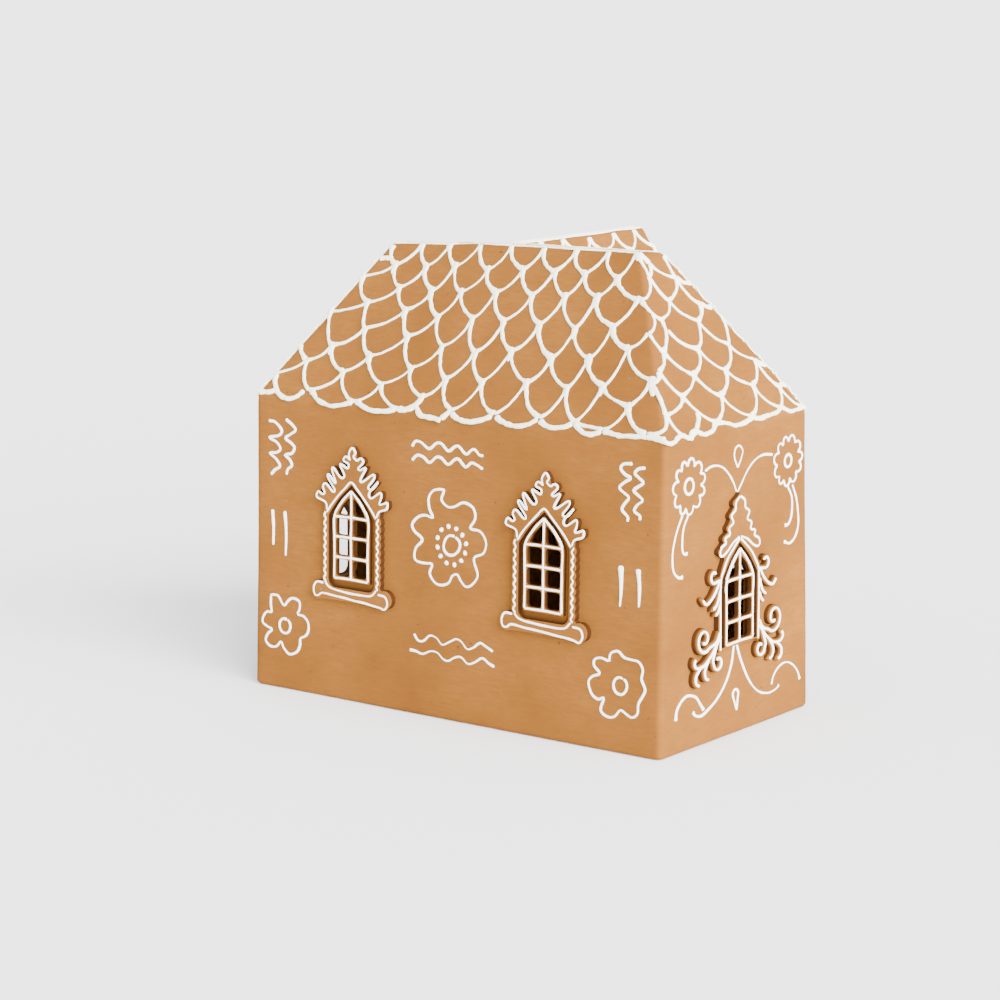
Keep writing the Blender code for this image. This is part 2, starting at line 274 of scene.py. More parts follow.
@dataclass(frozen=True)
class ClayFinish:
    """Matt gingerbread-brown clay: mottled, wiped smooth in streaks, with tiny specks and pores, and painted shade in
    the mouldings' sides and crevices.
    """
    name: str = "matt_brown_clay"
    body: Colour = (0.1680, 0.0640, 0.0112, 1.0)
    pale: Colour = (0.2080, 0.0830, 0.0155, 1.0)
    dark: Colour = (0.1320, 0.0485, 0.0084, 1.0)
    speck: Colour = (0.085, 0.032, 0.0080, 1.0)
    fleck: Colour = (0.240, 0.125, 0.0450, 1.0)
    # Painted shade: the dark brown that the clay turns to on moulding sides and in crevices.
    deep: Colour = (0.030, 0.0100, 0.0030, 1.0)
    roughness: float = 0.82

    def build(self) -> bpy.types.Material:
        """Lay out the clay: colour from slow mottling, streaks and specks, then darkened by painted shade from the
        moulding's shade attribute; bump from streaks and grain.
        """
        material = bpy.data.materials.new(self.name)
        material.use_nodes = True
        bench = NodeBench(material)
        shader = material.node_tree.nodes["Principled BSDF"]
        place = bench.node("ShaderNodeTexCoord").outputs["Object"]
        streak_place = bench.node("ShaderNodeMapping")
        streak_place.inputs["Scale"].default_value = (0.35, 0.35, 1.9)
        streak_place.inputs["Rotation"].default_value = (0.06, 0.05, 0.0)
        bench.link(place, streak_place.inputs["Vector"])

        mottle = bench.noise(place, 17.0, 4.0)
        streaks = bench.noise(streak_place.outputs["Vector"], 90.0, 4.0, 0.6)
        grain = bench.noise(place, 1400.0, 2.0)
        colour = bench.blend(bench.spread(mottle, 0.34, 0.66), self.dark, self.pale)
        colour = bench.blend(bench.spread(streaks, 0.35, 0.65, 0.05, 0.7), colour, self.body)
        brushed = bench.noise(streak_place.outputs["Vector"], 480.0, 3.0, 0.6)
        colour = bench.blend(bench.spread(brushed, 0.35, 0.65, 0.0, 0.4), colour, self.dark)
        specks = bench.spread(bench.noise(place, 420.0, 1.0), 0.75, 0.82)
        colour = bench.blend(specks, colour, self.speck)
        flecks = bench.spread(bench.noise(place, 310.0, 1.5), 0.77, 0.83)
        colour = bench.blend(flecks, colour, self.fleck)
        # Painted shade: blend towards the dark brown by the shade attribute, strongest on relief sides and scroll
        # flanks.
        painted_shade = bench.node("ShaderNodeAttribute")
        painted_shade.attribute_name = PAINTED_SHADE
        colour = bench.blend(painted_shade.outputs["Fac"], colour, self.deep)
        bench.link(colour, shader.inputs["Base Color"])

        rough = bench.spread(streaks, 0.3, 0.7, self.roughness - 0.07, self.roughness + 0.06)
        bench.link(rough, shader.inputs["Roughness"])
        shader.inputs["Specular IOR Level"].default_value = 0.04
        normal = bench.bump(streaks, 0.5, 0.0008)
        normal = bench.bump(grain, 0.16, 0.00025, normal)
        bench.link(normal, shader.inputs["Normal"])
        return material


@dataclass(frozen=True)
class SlipFinish:
    """White slip: chalky off-white, a little thinner and warmer in places and all over the roof, slightly lumpy."""
    name: str = "white_piped_slip"
    white: Colour = (0.950, 0.948, 0.910, 1.0)
    thin: Colour = (0.860, 0.820, 0.680, 1.0)
    roof: Colour = (0.830, 0.825, 0.650, 1.0)
    roof_foot: float = 138.0 * MM

    def build(self) -> bpy.types.Material:
        """Lay out the slip: white, cream above the walls' tops, thin patches by soft noise, and a fine bump."""
        material = bpy.data.materials.new(self.name)
        material.use_nodes = True
        bench = NodeBench(material)
        shader = material.node_tree.nodes["Principled BSDF"]
        place = bench.node("ShaderNodeTexCoord").outputs["Object"]
        patches = bench.noise(place, 120.0, 3.0)
        lumps = bench.noise(place, 650.0, 2.0)
        height = bench.node("ShaderNodeSeparateXYZ")
        bench.link(place, height.inputs["Vector"])
        above = bench.spread(height.outputs["Z"], self.roof_foot - 2 * MM, self.roof_foot + 2 * MM)
        colour = bench.blend(above, self.white, self.roof)
        colour = bench.blend(bench.spread(patches, 0.55, 0.8), colour, self.thin)
        bench.link(colour, shader.inputs["Base Color"])
        bench.link(bench.spread(lumps, 0.3, 0.7, 0.5, 0.66), shader.inputs["Roughness"])
        shader.inputs["Specular IOR Level"].default_value = 0.4
        bench.link(bench.bump(lumps, 0.25, 0.0003), shader.inputs["Normal"])
        return material


@dataclass
class Dresser:
    """Gives a piece its material, slot and body, and reports it."""
    clay: bpy.types.Material
    icing: bpy.types.Material

    def dress(self, item: bpy.types.Object, slot: Slot) -> bpy.types.Object:
        """Dress a piece and let it ride on the part's only body."""
        item.data.materials.clear()
        item.data.materials.append(self.clay if slot is Slot.CLAY else self.icing)
        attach(item, "root")
        log.info("%s: %d faces", item.name, len(item.data.polygons))
        return item


# ---------------------------------------------------------------------------------------------
# The house's plan, walls and slopes
# ---------------------------------------------------------------------------------------------

@dataclass(frozen=True)
class HousePlan:
    """The T-shaped plan at the floor, the eaves and the crest, in millimetres.

    Corners run anticlockwise from the front left: front left, front middle, front right, back
    right, wing right at the back wall, wing right at the gable, wing left at the gable, wing left
    at the back wall, back left.
    """
    base_length: float = 240.0
    base_depth: float = 124.0
    eave_length: float = 238.4
    eave_depth: float = 116.4
    eave_height: float = 142.7
    wall: float = 4.0
    wing_centre: float = -11.0
    wing_widths: tuple[float, float, float] = (102.0, 100.0, 6.0)
    wing_reaches: tuple[float, float, float] = (114.0, 110.0, 108.0)
    crest_ends: tuple[float, float, float] = (-79.0, 66.5, 72.5)
    crest_sides: tuple[float, float] = (-3.0, 6.5)
    crest_heights: tuple[float, float, float] = (213.4, 216.4, 217.2)

    def corners(self, left: float, right: tuple[float, float], sides: tuple[float, float], level: int,
                heights: tuple[float, float, float]) -> Array:
        """Nine corners from the ends, the sides, the wing's width and reach, and heights of left, wing, right."""
        half, reach, mid = self.wing_widths[level] / 2, self.wing_reaches[level], self.wing_centre
        front, back = sides
        low, wing, high = heights
        return np.array([
            (left, front, low), (mid, front, wing), (right[0], front, high), (right[1], back, high),
            (mid + half, back, wing), (mid + half, reach, wing), (mid - half, reach, wing),
            (mid - half, back, wing), (left, back, low)])

    @property
    def base(self) -> Array:
        """Corners on the floor."""
        half, deep = self.base_length / 2, self.base_depth / 2
        return self.corners(-half, (half, half), (-deep, deep), 0, (0.0, 0.0, 0.0))

    @property
    def eave(self) -> Array:
        """Corners at the eaves."""
        half, deep, z = self.eave_length / 2, self.eave_depth / 2, self.eave_height
        return self.corners(-half, (half, half), (-deep, deep), 1, (z, z, z))

    @property
    def crest(self) -> Array:
        """Corners of the blunt crest."""
        left, right_front, right_back = self.crest_ends
        return self.corners(left, (right_front, right_back), self.crest_sides, 2, self.crest_heights)

    @staticmethod
    def inset(corners: Array, by: float, drop: float = 0.0, reach_by: float | None = None) -> Array:
        """The same plan drawn in on every side and lowered.

        Args:
            corners: Nine corners.
            by: How far each side moves in.
            drop: How far the plan goes down.
            reach_by: How far the gable moves in, when it differs.

        Returns:
            Nine corners.
        """
        gable = by if reach_by is None else reach_by
        sign_x = np.array([1, 0, -1, -1, -1, -1, 1, 1, 1]) * by
        sign_y = np.array([1, 1, 1, -1, -1, 0, 0, -1, -1]) * by
        sign_y = sign_y + np.array([0, 0, 0, 0, 0, -1, -1, 0, 0]) * gable
        return corners + np.stack([sign_x, sign_y, np.full(9, -drop)], axis=1)


@dataclass(frozen=True)
class Wall:
    """A flat wall face: places are (across, up) in millimetres from its origin."""
    origin: Array
    across: Array
    up: Array

    @classmethod
    def between(cls, across: tuple[float, float, float], foot: tuple[float, float, float],
                top: tuple[float, float, float], height: float = 0.0) -> "Wall":
        """A wall from its across direction, a foot point and the point above it at the eaves.

        Args:
            across: Direction to the right, seen from outside.
            foot: Point on the floor.
            top: Point at the eaves.
            height: Height of the origin above the floor.

        Returns:
            The wall.
        """
        up = unit(np.array(top, float) - np.array(foot, float))
        return cls(np.array(foot, float) + up * height / up[2], np.array(across, float), up)

    @property
    def out(self) -> Array:
        """Direction away from the house."""
        return np.cross(self.across, self.up)

    def place(self, flat: Array) -> tuple[Array, Array]:
        """Points on the face and the outward direction at each."""
        flat = np.asarray(flat, float)
        points = self.origin + flat[:, :1] * self.across + flat[:, 1:2] * self.up
        return points, np.broadcast_to(self.out, points.shape)

    def raised(self, flat: Array, height: float) -> Array:
        """Points at a height off the face."""
        points, out = self.place(flat)
        return points + out * height


@dataclass
class Slope:
    """A roof slope between an eave rail and a crest rail; places are (across, up the slope) in millimetres.

    A point lies a share t of the way from the eave rail to the crest rail. The rails' points split
    the slope into patches, and across a patch it is interpolated between that patch's two rails. A
    point beyond an end rail goes over the hip onto the neighbouring slope, by the same distance.
    """
    eave: Array
    crest: Array
    before: "Slope | None" = None
    after: "Slope | None" = None

    @property
    def across(self) -> Array:
        """Direction along the eave, to the right seen from outside."""
        return unit(self.eave[-1] - self.eave[0])

    @property
    def length(self) -> float:
        """Distance up the middle of the slope, square to the eave."""
        rise = (self.crest[0] + self.crest[-1]) / 2 - (self.eave[0] + self.eave[-1]) / 2
        return float(np.linalg.norm(rise - self.across * (rise @ self.across)))

    def rails(self, t: Array) -> Array:
        """Across-places of the rails' points at shares up the slope."""
        low, high = self.eave @ self.across, self.crest @ self.across
        return low[None] * (1 - t[:, None]) + high[None] * t[:, None]

    def place(self, flat: Array) -> tuple[Array, Array]:
        """Points on the slope and the outward direction at each."""
        flat = np.asarray(flat, float)
        u, t = flat[:, 0], flat[:, 1] / self.length
        rails = self.rails(t)
        points, out = np.zeros((len(flat), 3)), np.zeros((len(flat), 3))
        for k in range(len(self.eave) - 1):
            first, last = k == 0, k == len(self.eave) - 2
            inside = ((u >= rails[:, k]) | first) & ((u < rails[:, k + 1]) | last)
            share = (u - rails[:, k]) / np.maximum(rails[:, k + 1] - rails[:, k], 1e-6)
            a, s = share[:, None], t[:, None]
            low = self.eave[k] * (1 - a) + self.eave[k + 1] * a
            high = self.crest[k] * (1 - a) + self.crest[k + 1] * a
            patch = low * (1 - s) + high * s
            facing = np.cross(unit(self.eave[k + 1] - self.eave[k]), unit(high - low))
            points[inside], out[inside] = patch[inside], unit(facing)[inside]
        for other, over, rail in ((self.before, u < rails[:, 0], 0), (self.after, u > rails[:, -1], -1)):
            if other is not None and over.any():
                start = other.rails(t)[:, -1 if rail == 0 else 0]
                moved = np.stack([start + u - rails[:, rail], t * other.length], axis=1)
                points[over], out[over] = other.plain(moved[over])
        return points, out

    def plain(self, flat: Array) -> tuple[Array, Array]:
        """The same as place, without going over a hip."""
        return Slope(self.eave, self.crest).place(flat)


@dataclass
class House:
    """The plan with its walls and slopes, ready to build on."""
    plan: HousePlan = field(default_factory=HousePlan)
    slopes: dict[str, Slope] = field(default_factory=dict)

    SLOPE_CORNERS = {
        "front": (0, 1, 2), "right": (2, 3), "back_right": (3, 4), "wing_right": (4, 5),
        "wing_left": (6, 7), "back_left": (7, 8), "left": (8, 0)}

    def __post_init__(self) -> None:
        """Make the slopes and join neighbours that share a hip or valley."""
        eave, crest = self.plan.eave, self.plan.crest
        for name, corners in self.SLOPE_CORNERS.items():
            self.slopes[name] = Slope(eave[list(corners)], crest[list(corners)])
        for first, second in (("left", "front"), ("front", "right"), ("right", "back_right"), ("back_left", "left")):
            self.slopes[first].after = self.slopes[second]
            self.slopes[second].before = self.slopes[first]

    def front(self, x: float = 0.0, height: float = 0.0) -> Wall:
        """The front wall, with its origin at a place along it."""
        plan = self.plan
        return Wall.between((1, 0, 0), (x, -plan.base_depth / 2, 0), (x, -plan.eave_depth / 2, plan.eave_height), height)

    def back(self, x: float = 0.0, height: float = 0.0) -> Wall:
        """The back wall beside the wing."""
        plan = self.plan
        return Wall.between((-1, 0, 0), (x, plan.base_depth / 2, 0), (x, plan.eave_depth / 2, plan.eave_height), height)

    def end(self, side: int, y: float = 0.0, height: float = 0.0) -> Wall:
        """The right (side 1) or left (side -1) end wall."""
        plan = self.plan
        return Wall.between((0, side, 0), (side * plan.base_length / 2, y, 0),
                            (side * plan.eave_length / 2, y, plan.eave_height), height)

    def gable(self, height: float = 0.0) -> Wall:
        """The wing's gable wall."""
        plan, x = self.plan, self.plan.wing_centre
        return Wall.between((-1, 0, 0), (x, plan.wing_reaches[0], 0), (x, plan.wing_reaches[1], plan.eave_height), height)

    def gable_top(self) -> Wall:
        """The gable's triangle above the eaves, with its origin at the eaves."""
        plan, x = self.plan, self.plan.wing_centre
        foot = np.array((x, plan.wing_reaches[1], plan.eave_height))
        top = np.array((x, plan.wing_reaches[2], plan.crest_heights[1]))
        return Wall(foot, np.array((-1.0, 0, 0)), unit(top - foot))

    def wing_side(self, side: int, y: float) -> Wall:
        """The wing's right (side 1) or left (side -1) wall."""
        plan = self.plan
        foot, top = (plan.wing_centre + side * plan.wing_widths[k] / 2 for k in (0, 1))
        return Wall.between((0, side, 0), (foot, y, 0), (top, y, plan.eave_height))


# ---------------------------------------------------------------------------------------------
# The clay shell
# ---------------------------------------------------------------------------------------------

@dataclass
class ClayShell:
    """The hollow body: an outer and an inner skin round the same plan, joined by the foot."""
    house: House
    corner_setback: float = 3.6
    crest_setback: float = 1.8
    eave_round: float = 2.6
    crest_round: float = 1.8
    foot_round: float = 1.9
    wall_rows: int = 28
    slope_rows: int = 20
    spacing: float = 4.5
    opening_reach: float = 12.0

    def outer_rows(self) -> tuple[Array, Array]:
        """Nine corners for each height of the outer skin, and how far corners are rounded there.

        Corners run straight from floor to eave to crest. Round the eave and the crest's edge they
        follow the parabola that touches both straight lines at the rounding's distance.
        """
        plan = self.house.plan
        base, eave, crest = plan.base, plan.eave, plan.crest
        top = HousePlan.inset(crest, self.crest_round)
        lift = np.array([0, 0, 1.0])
        foot = [HousePlan.inset(base, self.foot_round),
                HousePlan.inset(base, self.foot_round * 0.3) + lift * self.foot_round * 0.25,
                HousePlan.inset(base, self.foot_round * 0.04) + lift * self.foot_round * 0.75]
        wall_length, slope_length = plan.eave_height, self.house.slopes["front"].length

        def between(first: Array, second: Array, shares: Array) -> Array:
            return first[None] * (1 - shares[:, None, None]) + second[None] * shares[:, None, None]

        def rounded(first: Array, middle: Array, last: Array, steps: int) -> Array:
            s = (np.arange(1, steps) / steps)[:, None, None]
            return (1 - s) ** 2 * first + 2 * s * (1 - s) * middle + s ** 2 * last

        wall = between(base, eave, np.linspace(self.foot_round / wall_length, 1 - self.eave_round / wall_length,
                                               self.wall_rows))
        slope = between(eave, crest, np.linspace(self.eave_round / slope_length, 1 - self.crest_round / slope_length,
                                                 self.slope_rows))
        rows = np.concatenate([
            np.stack(foot), wall, rounded(wall[-1], eave, slope[0], 5), slope,
            rounded(slope[-1], crest, top, 5), top[None]])
        setback = np.interp(rows[:, 2, 2], [0, plan.eave_height, plan.crest_heights[2] - 3],
                            [self.corner_setback, self.corner_setback * 0.9, self.crest_setback])
        setback[-1] = 0.5
        return rows, setback

    def inner_rows(self) -> tuple[Array, Array]:
        """Nine corners for each height of the inner skin, from the crest down to the floor."""
        plan = self.house.plan
        rows = np.stack([
            HousePlan.inset(plan.crest, 0.5, 6.0, reach_by=plan.wall),
            HousePlan.inset(plan.eave, plan.wall, 1.2),
            HousePlan.inset(plan.base, plan.wall)])
        return rows, np.array([0.8, 2.0, 2.0])

    def loops(self, rows: Array, setback: Array) -> Array:
        """Loops round the plan: straight sides joined at each corner by a parabola that touches both.

        Args:
            rows: Nine corners for each height.
            setback: Distance from a corner at which its rounding starts, for each height.

        Returns:
            Points, shaped heights by places by three.
        """
        ahead = unit(np.roll(rows, -1, axis=1) - rows) * setback[:, None, None]
        behind = unit(np.roll(rows, 1, axis=1) - rows) * setback[:, None, None]
        s = np.linspace(0, 1, 7)[None, None, :, None]
        first, middle, last = (rows + behind)[:, :, None], rows[:, :, None], (rows + ahead)[:, :, None]
        bends = (1 - s) ** 2 * first + 2 * s * (1 - s) * middle + s ** 2 * last
        base = self.house.plan.base
        pieces = []
        for k in range(9):
            after = (k + 1) % 9
            count = max(2, int(np.linalg.norm(base[after] - base[k]) / self.spacing))
            share = np.linspace(0, 1, count + 2)[1:-1][None, :, None]
            straight = bends[:, k, -1:] * (1 - share) + bends[:, after, :1] * share
            pieces += [bends[:, k], straight]
        return np.concatenate(pieces, axis=1)

    def uneven(self, loops: Array) -> Array:
        """The outer skin moved along its own outward direction by the unevenness of handwork."""
        round_step = np.roll(loops, -1, axis=1) - np.roll(loops, 1, axis=1)
        up_step = np.gradient(loops, axis=0)
        out = unit(np.cross(round_step, up_step))
        moved = loops + out * unevenness(loops)[..., None]
        moved[..., 2] = np.where(loops[..., 2] < 2.0, loops[..., 2], moved[..., 2])
        return moved

    def openings(self, arches: list[tuple[Wall, Array]]) -> bpy.types.Object:
        """Prisms through the wall behind each grille, as one cutting object."""
        parts = MeshParts()
        for wall, arch in arches:
            count = len(arch)
            points = np.vstack([wall.raised(arch, -self.opening_reach), wall.raised(arch, self.opening_reach)])
            bottom, top = tuple(range(count - 1, -1, -1)), tuple(range(count, 2 * count))
            parts.add(points, strip_faces(2, count) + [bottom, top])
        return parts.to_object("opening_cutter")

    def build(self, arches: list[tuple[Wall, Array]]) -> bpy.types.Object:
        """Join both skins at the foot, close them at the crest, and cut the openings.

        Args:
            arches: Each window's wall and the outline of its opening.

        Returns:
            The shell.
        """
        inner = self.loops(*self.inner_rows())
        outer = self.uneven(self.loops(*self.outer_rows()))
        skin = np.concatenate([inner, outer])
        height, width = skin.shape[:2]
        parts = MeshParts()
        last = (height - 1) * width
        faces = strip_faces(height, width)
        faces += cap_faces([skin[-1, :, :2]], [last], up=True)
        faces += cap_faces([skin[0, :, :2]], [0], up=False)
        parts.add(skin.reshape(-1, 3), faces)
        shell = parts.to_object("clay_shell")
        cutter = self.openings(arches)
        cut = shell.modifiers.new("openings", "BOOLEAN")
        cut.operation, cut.object, cut.solver = "DIFFERENCE", cutter, "EXACT"
        depsgraph = bpy.context.evaluated_depsgraph_get()
        finished = bpy.data.meshes.new_from_object(shell.evaluated_get(depsgraph))
        shell.modifiers.clear()
        shell.data = finished
        finished.name = "clay_shell"
        finished.shade_smooth()
        finished.set_sharp_from_angle(angle=math.radians(40))
        bpy.data.objects.remove(cutter, do_unlink=True)
        return shell


# ---------------------------------------------------------------------------------------------
# Moulded relief
# ---------------------------------------------------------------------------------------------

def mirrored(half: Array) -> Array:
    """A closed anticlockwise outline from its right half, which runs from the bottom up to the top."""
    half = np.asarray(half, float)
    left = half[half[:, 0] > 1e-6][::-1] * np.array([-1.0, 1.0])
    return np.vstack([half, left])


def arc(centre: tuple[float, float], radius: float, start: float, stop: float, steps: int) -> Array:
    """Points on an arc, angles in degrees."""
    angle = np.radians(np.linspace(start, stop, steps + 1))
    return np.array(centre) + radius * np.stack([np.cos(angle), np.sin(angle)], axis=1)


def pointed_arch(half_width: float, bottom: float, spring: float, apex: float, corner: float = 0.0,
                 bulge: float = 0.9) -> Array:
    """Closed outline of a lancet: upright sides, a bowed line from each spring to the apex."""
    middle = (half_width / 2 + bulge * 0.75, (spring + apex) / 2 + bulge * 0.65)
    top = smooth_curve(np.array([(half_width, spring), middle, (0.0, apex)]), 6)
    foot = arc((half_width - max(corner, 0.01), bottom + max(corner, 0.01)), max(corner, 0.01), -90, 0, 5)
    side = np.array([(half_width, bottom + (spring - bottom) * s) for s in (0.35, 0.7)])
    return mirrored(np.vstack([[(0.0, bottom)], foot, side, top]))


def soften(points: Array, share: float = 0.22, rounds: int = 2) -> Array:
    """A closed outline with its corners cut: each side keeps only its middle, twice over."""
    for _ in range(rounds):
        after = np.roll(points, -1, axis=0)
        points = np.stack([points * (1 - share) + after * share, points * share + after * (1 - share)], 1).reshape(-1, 2)
    return points


def drawn_in(outline: Array, by: float) -> Array:
    """An anticlockwise outline moved inwards: each point along the mean of its two sides' normals."""
    before, after = outline - np.roll(outline, 1, axis=0), np.roll(outline, -1, axis=0) - outline
    first, second = (unit(np.stack([-e[:, 1], e[:, 0]], 1)) for e in (before, after))
    mean = unit(first + second)
    stretch = 1 / np.maximum((mean * first).sum(1, keepdims=True), 0.6)
    return outline + mean * by * stretch


@dataclass
class Boundary:
    """The side of a slab: outlines with equal numbers of points at rising heights."""
    outlines: list[Array]
    heights: list[float]

    @classmethod
    def rounded(cls, outline: Array, low: float, high: float, radius: float, hole: bool = False) -> "Boundary":
        """A side that is upright and rounded over at the top by a quarter circle."""
        turns = np.radians([22, 45, 68, 90])
        way = -1.0 if hole else 1.0
        outlines = [outline, outline] + [drawn_in(outline, way * radius * (1 - math.cos(a))) for a in turns]
        heights = [low, high - radius] + [high - radius + radius * math.sin(a) for a in turns]
        return cls(outlines, heights)


def add_slab(parts: MeshParts, wall: Wall, outer: Boundary, holes: list[Boundary]) -> None:
    """Add a closed slab: every boundary's side, and a cap over the first and over the last outlines.

    Args:
        parts: Mesh to add to.
        wall: Wall the slab lies on.
        outer: The outside boundary, anticlockwise.
        holes: Boundaries of holes, also given anticlockwise.
    """
    vertices, faces, painted_shade, first, last, count = [], [], [], [], [], 0
    top = outer.heights[-1]
    for k, side in enumerate([outer] + holes):
        size = len(side.outlines[0])
        vertices += [wall.raised(line, height) for line, height in zip(side.outlines, side.heights)]
        # Painted shade: side rings more than 0.3 mm below the top get 0.9 of the dark shade colour, except a level
        # ledge's inner edge, which stays unshaded.
        ledges = [low == high for low, high in zip(side.heights, side.heights[1:])] + [False]
        painted_shade += [np.full(size, 0.9 if top - height > 0.3 and not ledge else 0.0)
                   for height, ledge in zip(side.heights, ledges)]
        strip = strip_faces(len(side.outlines), size)
        strip = strip if k == 0 else [face[::-1] for face in strip]
        faces += [tuple(i + count for i in face) for face in strip]
        first.append(count)
        last.append(count + (len(side.outlines) - 1) * size)
        count += len(side.outlines) * size
    sides = [outer] + holes
    faces += cap_faces([side.outlines[0] for side in sides], first, up=False)
    faces += cap_faces([side.outlines[-1] for side in sides], last, up=True)
    parts.add(np.vstack(vertices), faces, np.concatenate(painted_shade))


HALF_ROUND = np.array([(math.cos(a), math.sin(a)) for a in np.radians(np.linspace(0, 180, 9))]
                      + [(-0.96, -1.0), (0.96, -1.0)])
RIB_ROUND = np.array([(1.0, -0.6), (1.0, 0.55), (0.86, 0.84), (0.6, 0.97), (0.3, 1.0), (-0.3, 1.0),
                      (-0.6, 0.97), (-0.86, 0.84), (-1.0, 0.55), (-1.0, -0.6)])


def add_sweep(parts: MeshParts, path: Array, out: Array, half_width: Array, height: Array, profile: Array,
              shade_strength: float = 0.0) -> None:
    """Add a profile carried along a path: its x across the path times the half width, its y out times the height.

    Args:
        parts: Mesh to add to.
        path: Points of the path on the surface.
        out: Outward direction at each point.
        half_width: Half width at each point.
        height: Height at each point.
        profile: Closed outline, anticlockwise seen from the path's end.
        shade_strength: How much painted shade the profile's lowest points get; it fades to none at the top.
    """
    run = unit(np.gradient(path, axis=0))
    across = unit(np.cross(run, out))
    ring = (path[:, None] + across[:, None] * (profile[None, :, :1] * half_width[:, None, None])
            + out[:, None] * (profile[None, :, 1:] * height[:, None, None]))
    rows, columns = ring.shape[:2]
    faces = [face[::-1] for face in strip_faces(rows, columns)]
    start, end = tuple(range(columns)), tuple(range(rows * columns - 1, (rows - 1) * columns - 1, -1))
    # Painted shade: strongest at the profile's foot, fading out near its top.
    painted_shade = np.broadcast_to(shade_strength * np.clip(2.2 * (0.97 - profile[:, 1]), 0, 1), (rows, columns))
    parts.add(ring.reshape(-1, 3), faces + [start, end], painted_shade.reshape(-1))


@dataclass
class PipedLines:
    """Lines of slip piped onto walls and slopes, gathered into one piece.

    Flatness is a line's height as a share of its width, roughness how ragged its edges are, and
    ground how far the lines lie above the plain surface, so that its unevenness doesn't swallow them.
    """
    name: str
    seed: int
    step: float = 0.9
    flatness: float = 0.3
    roughness: float = 0.0
    ground: float = 0.0
    parts: MeshParts = field(default_factory=MeshParts)
    drawn: int = 0

    def line(self, surface: Wall | Slope, points: Array, width: float, height: float = 0.0, lift: float = 0.0,
             taper: float = 1.0, start_blob: float = 0.0, end_blob: float = 0.0, per_span: int = 6,
             shake: float = 0.12, blob_length: float = 1.3) -> None:
        """Pipe a line with domed ends, a width that wanders, and a blob at either end if wanted.

        Args:
            surface: Wall or slope the line lies on.
            points: Places on it that the line's smooth curve passes through.
            width: Width of the line.
            height: How far it stands up; a share of the width if left out.
            lift: Height of the ground it lies on above the surface.
            taper: Width at the end as a share of the width at the start.
            start_blob: How much fatter the line starts.
            end_blob: How much fatter the line ends.
            per_span: Samples of the smooth curve on each span.
            shake: How far the hand strays.
            blob_length: Length over which a blob fades, in widths.
        """
        self.drawn += 1
        seed = self.seed * 1000 + self.drawn
        flat = smooth_curve(points, per_span) if len(points) > 2 else np.asarray(points, float)
        length = along(flat)[-1]
        half = width / 2
        dome = np.array([0.0, 0.06, 0.22, 0.5, 1.0]) * min(half, length / 3)
        middle = np.linspace(dome[-1], length - dome[-1], max(3, int(length / self.step) + 1))
        at = np.concatenate([dome[:-1], middle, length - dome[:-1][::-1]])
        flat = resample(flat, at)
        edge = np.minimum(at, length - at) / max(dome[-1], 1e-6)
        ends = np.sqrt(np.clip(1 - (1 - np.clip(edge, 0, 1)) ** 2, 0.006, 1))
        stray = np.stack([wander(at, 7.0, seed), wander(at, 6.0, seed + 1)], 1) * shake * np.clip(edge, 0, 1)[:, None]
        rough = np.stack([wander(at, 1.7, seed + 4), wander(at, 1.9, seed + 5)], 1) * self.roughness * width
        swell = 1 + 0.13 * wander(at, 3.1, seed + 2) + 0.1 * wander(at, 9.0, seed + 3)
        swell = swell + self.roughness * 2 * wander(at, 1.5, seed + 6)
        swell = swell * (1 + (taper - 1) * at / length)
        swell = swell + start_blob * np.exp(-(at / (blob_length * width)) ** 2)
        swell = swell + end_blob * np.exp(-((length - at) / (blob_length * width)) ** 2)
        points3, out = surface.place(flat + stray + rough * np.clip(edge, 0, 1)[:, None])
        if isinstance(surface, Slope):
            out = self.eased(out)
        rise = (height or self.flatness * width) * swell ** 0.3 * ends
        add_sweep(self.parts, points3 + out * (lift + self.ground), out, half * swell * ends, rise, HALF_ROUND)

    @staticmethod
    def eased(out: Array) -> Array:
        """Outward directions averaged with their neighbours, so a line bends gently over a hip."""
        for _ in range(3):
            padded = np.vstack([out[:1], out, out[-1:]])
            out = unit(padded[:-2] + 2 * padded[1:-1] + padded[2:])
        return out

    def dot(self, surface: Wall | Slope, place: tuple[float, float], radius: float, lift: float = 0.0) -> None:
        """Pipe a round dot: rings shrinking over a low dome."""
        self.drawn += 1
        rng = np.random.default_rng(self.seed * 1000 + self.drawn)
        angle = np.linspace(0, 2 * np.pi, 14, endpoint=False)
        wobble = 1 + 0.07 * np.sin(2 * angle + rng.uniform(0, 6)) + 0.04 * np.sin(3 * angle + rng.uniform(0, 6))
        turns = np.radians([-25, 0, 25, 50, 75])
        flat = np.concatenate([np.array(place) + radius * math.cos(a) * wobble[:, None]
                               * np.stack([np.cos(angle), np.sin(angle)], 1) for a in turns])
        rise = np.repeat(np.sin(turns) * 0.55 * radius, len(angle))
        points, out = surface.place(flat)
        points = points + out * (rise + lift)[:, None]
        rows = len(turns)
        faces = strip_faces(rows, len(angle))
        faces += [tuple(range(len(angle) - 1, -1, -1)),
                  tuple(range((rows - 1) * len(angle), rows * len(angle)))]
        self.parts.add(points, faces)

    def finish(self, dresser: Dresser) -> bpy.types.Object:
        """Make the piece."""
        return dresser.dress(self.parts.to_object(self.name, 60.0), Slot.ICING)


# ---------------------------------------------------------------------------------------------
# Windows
# ---------------------------------------------------------------------------------------------

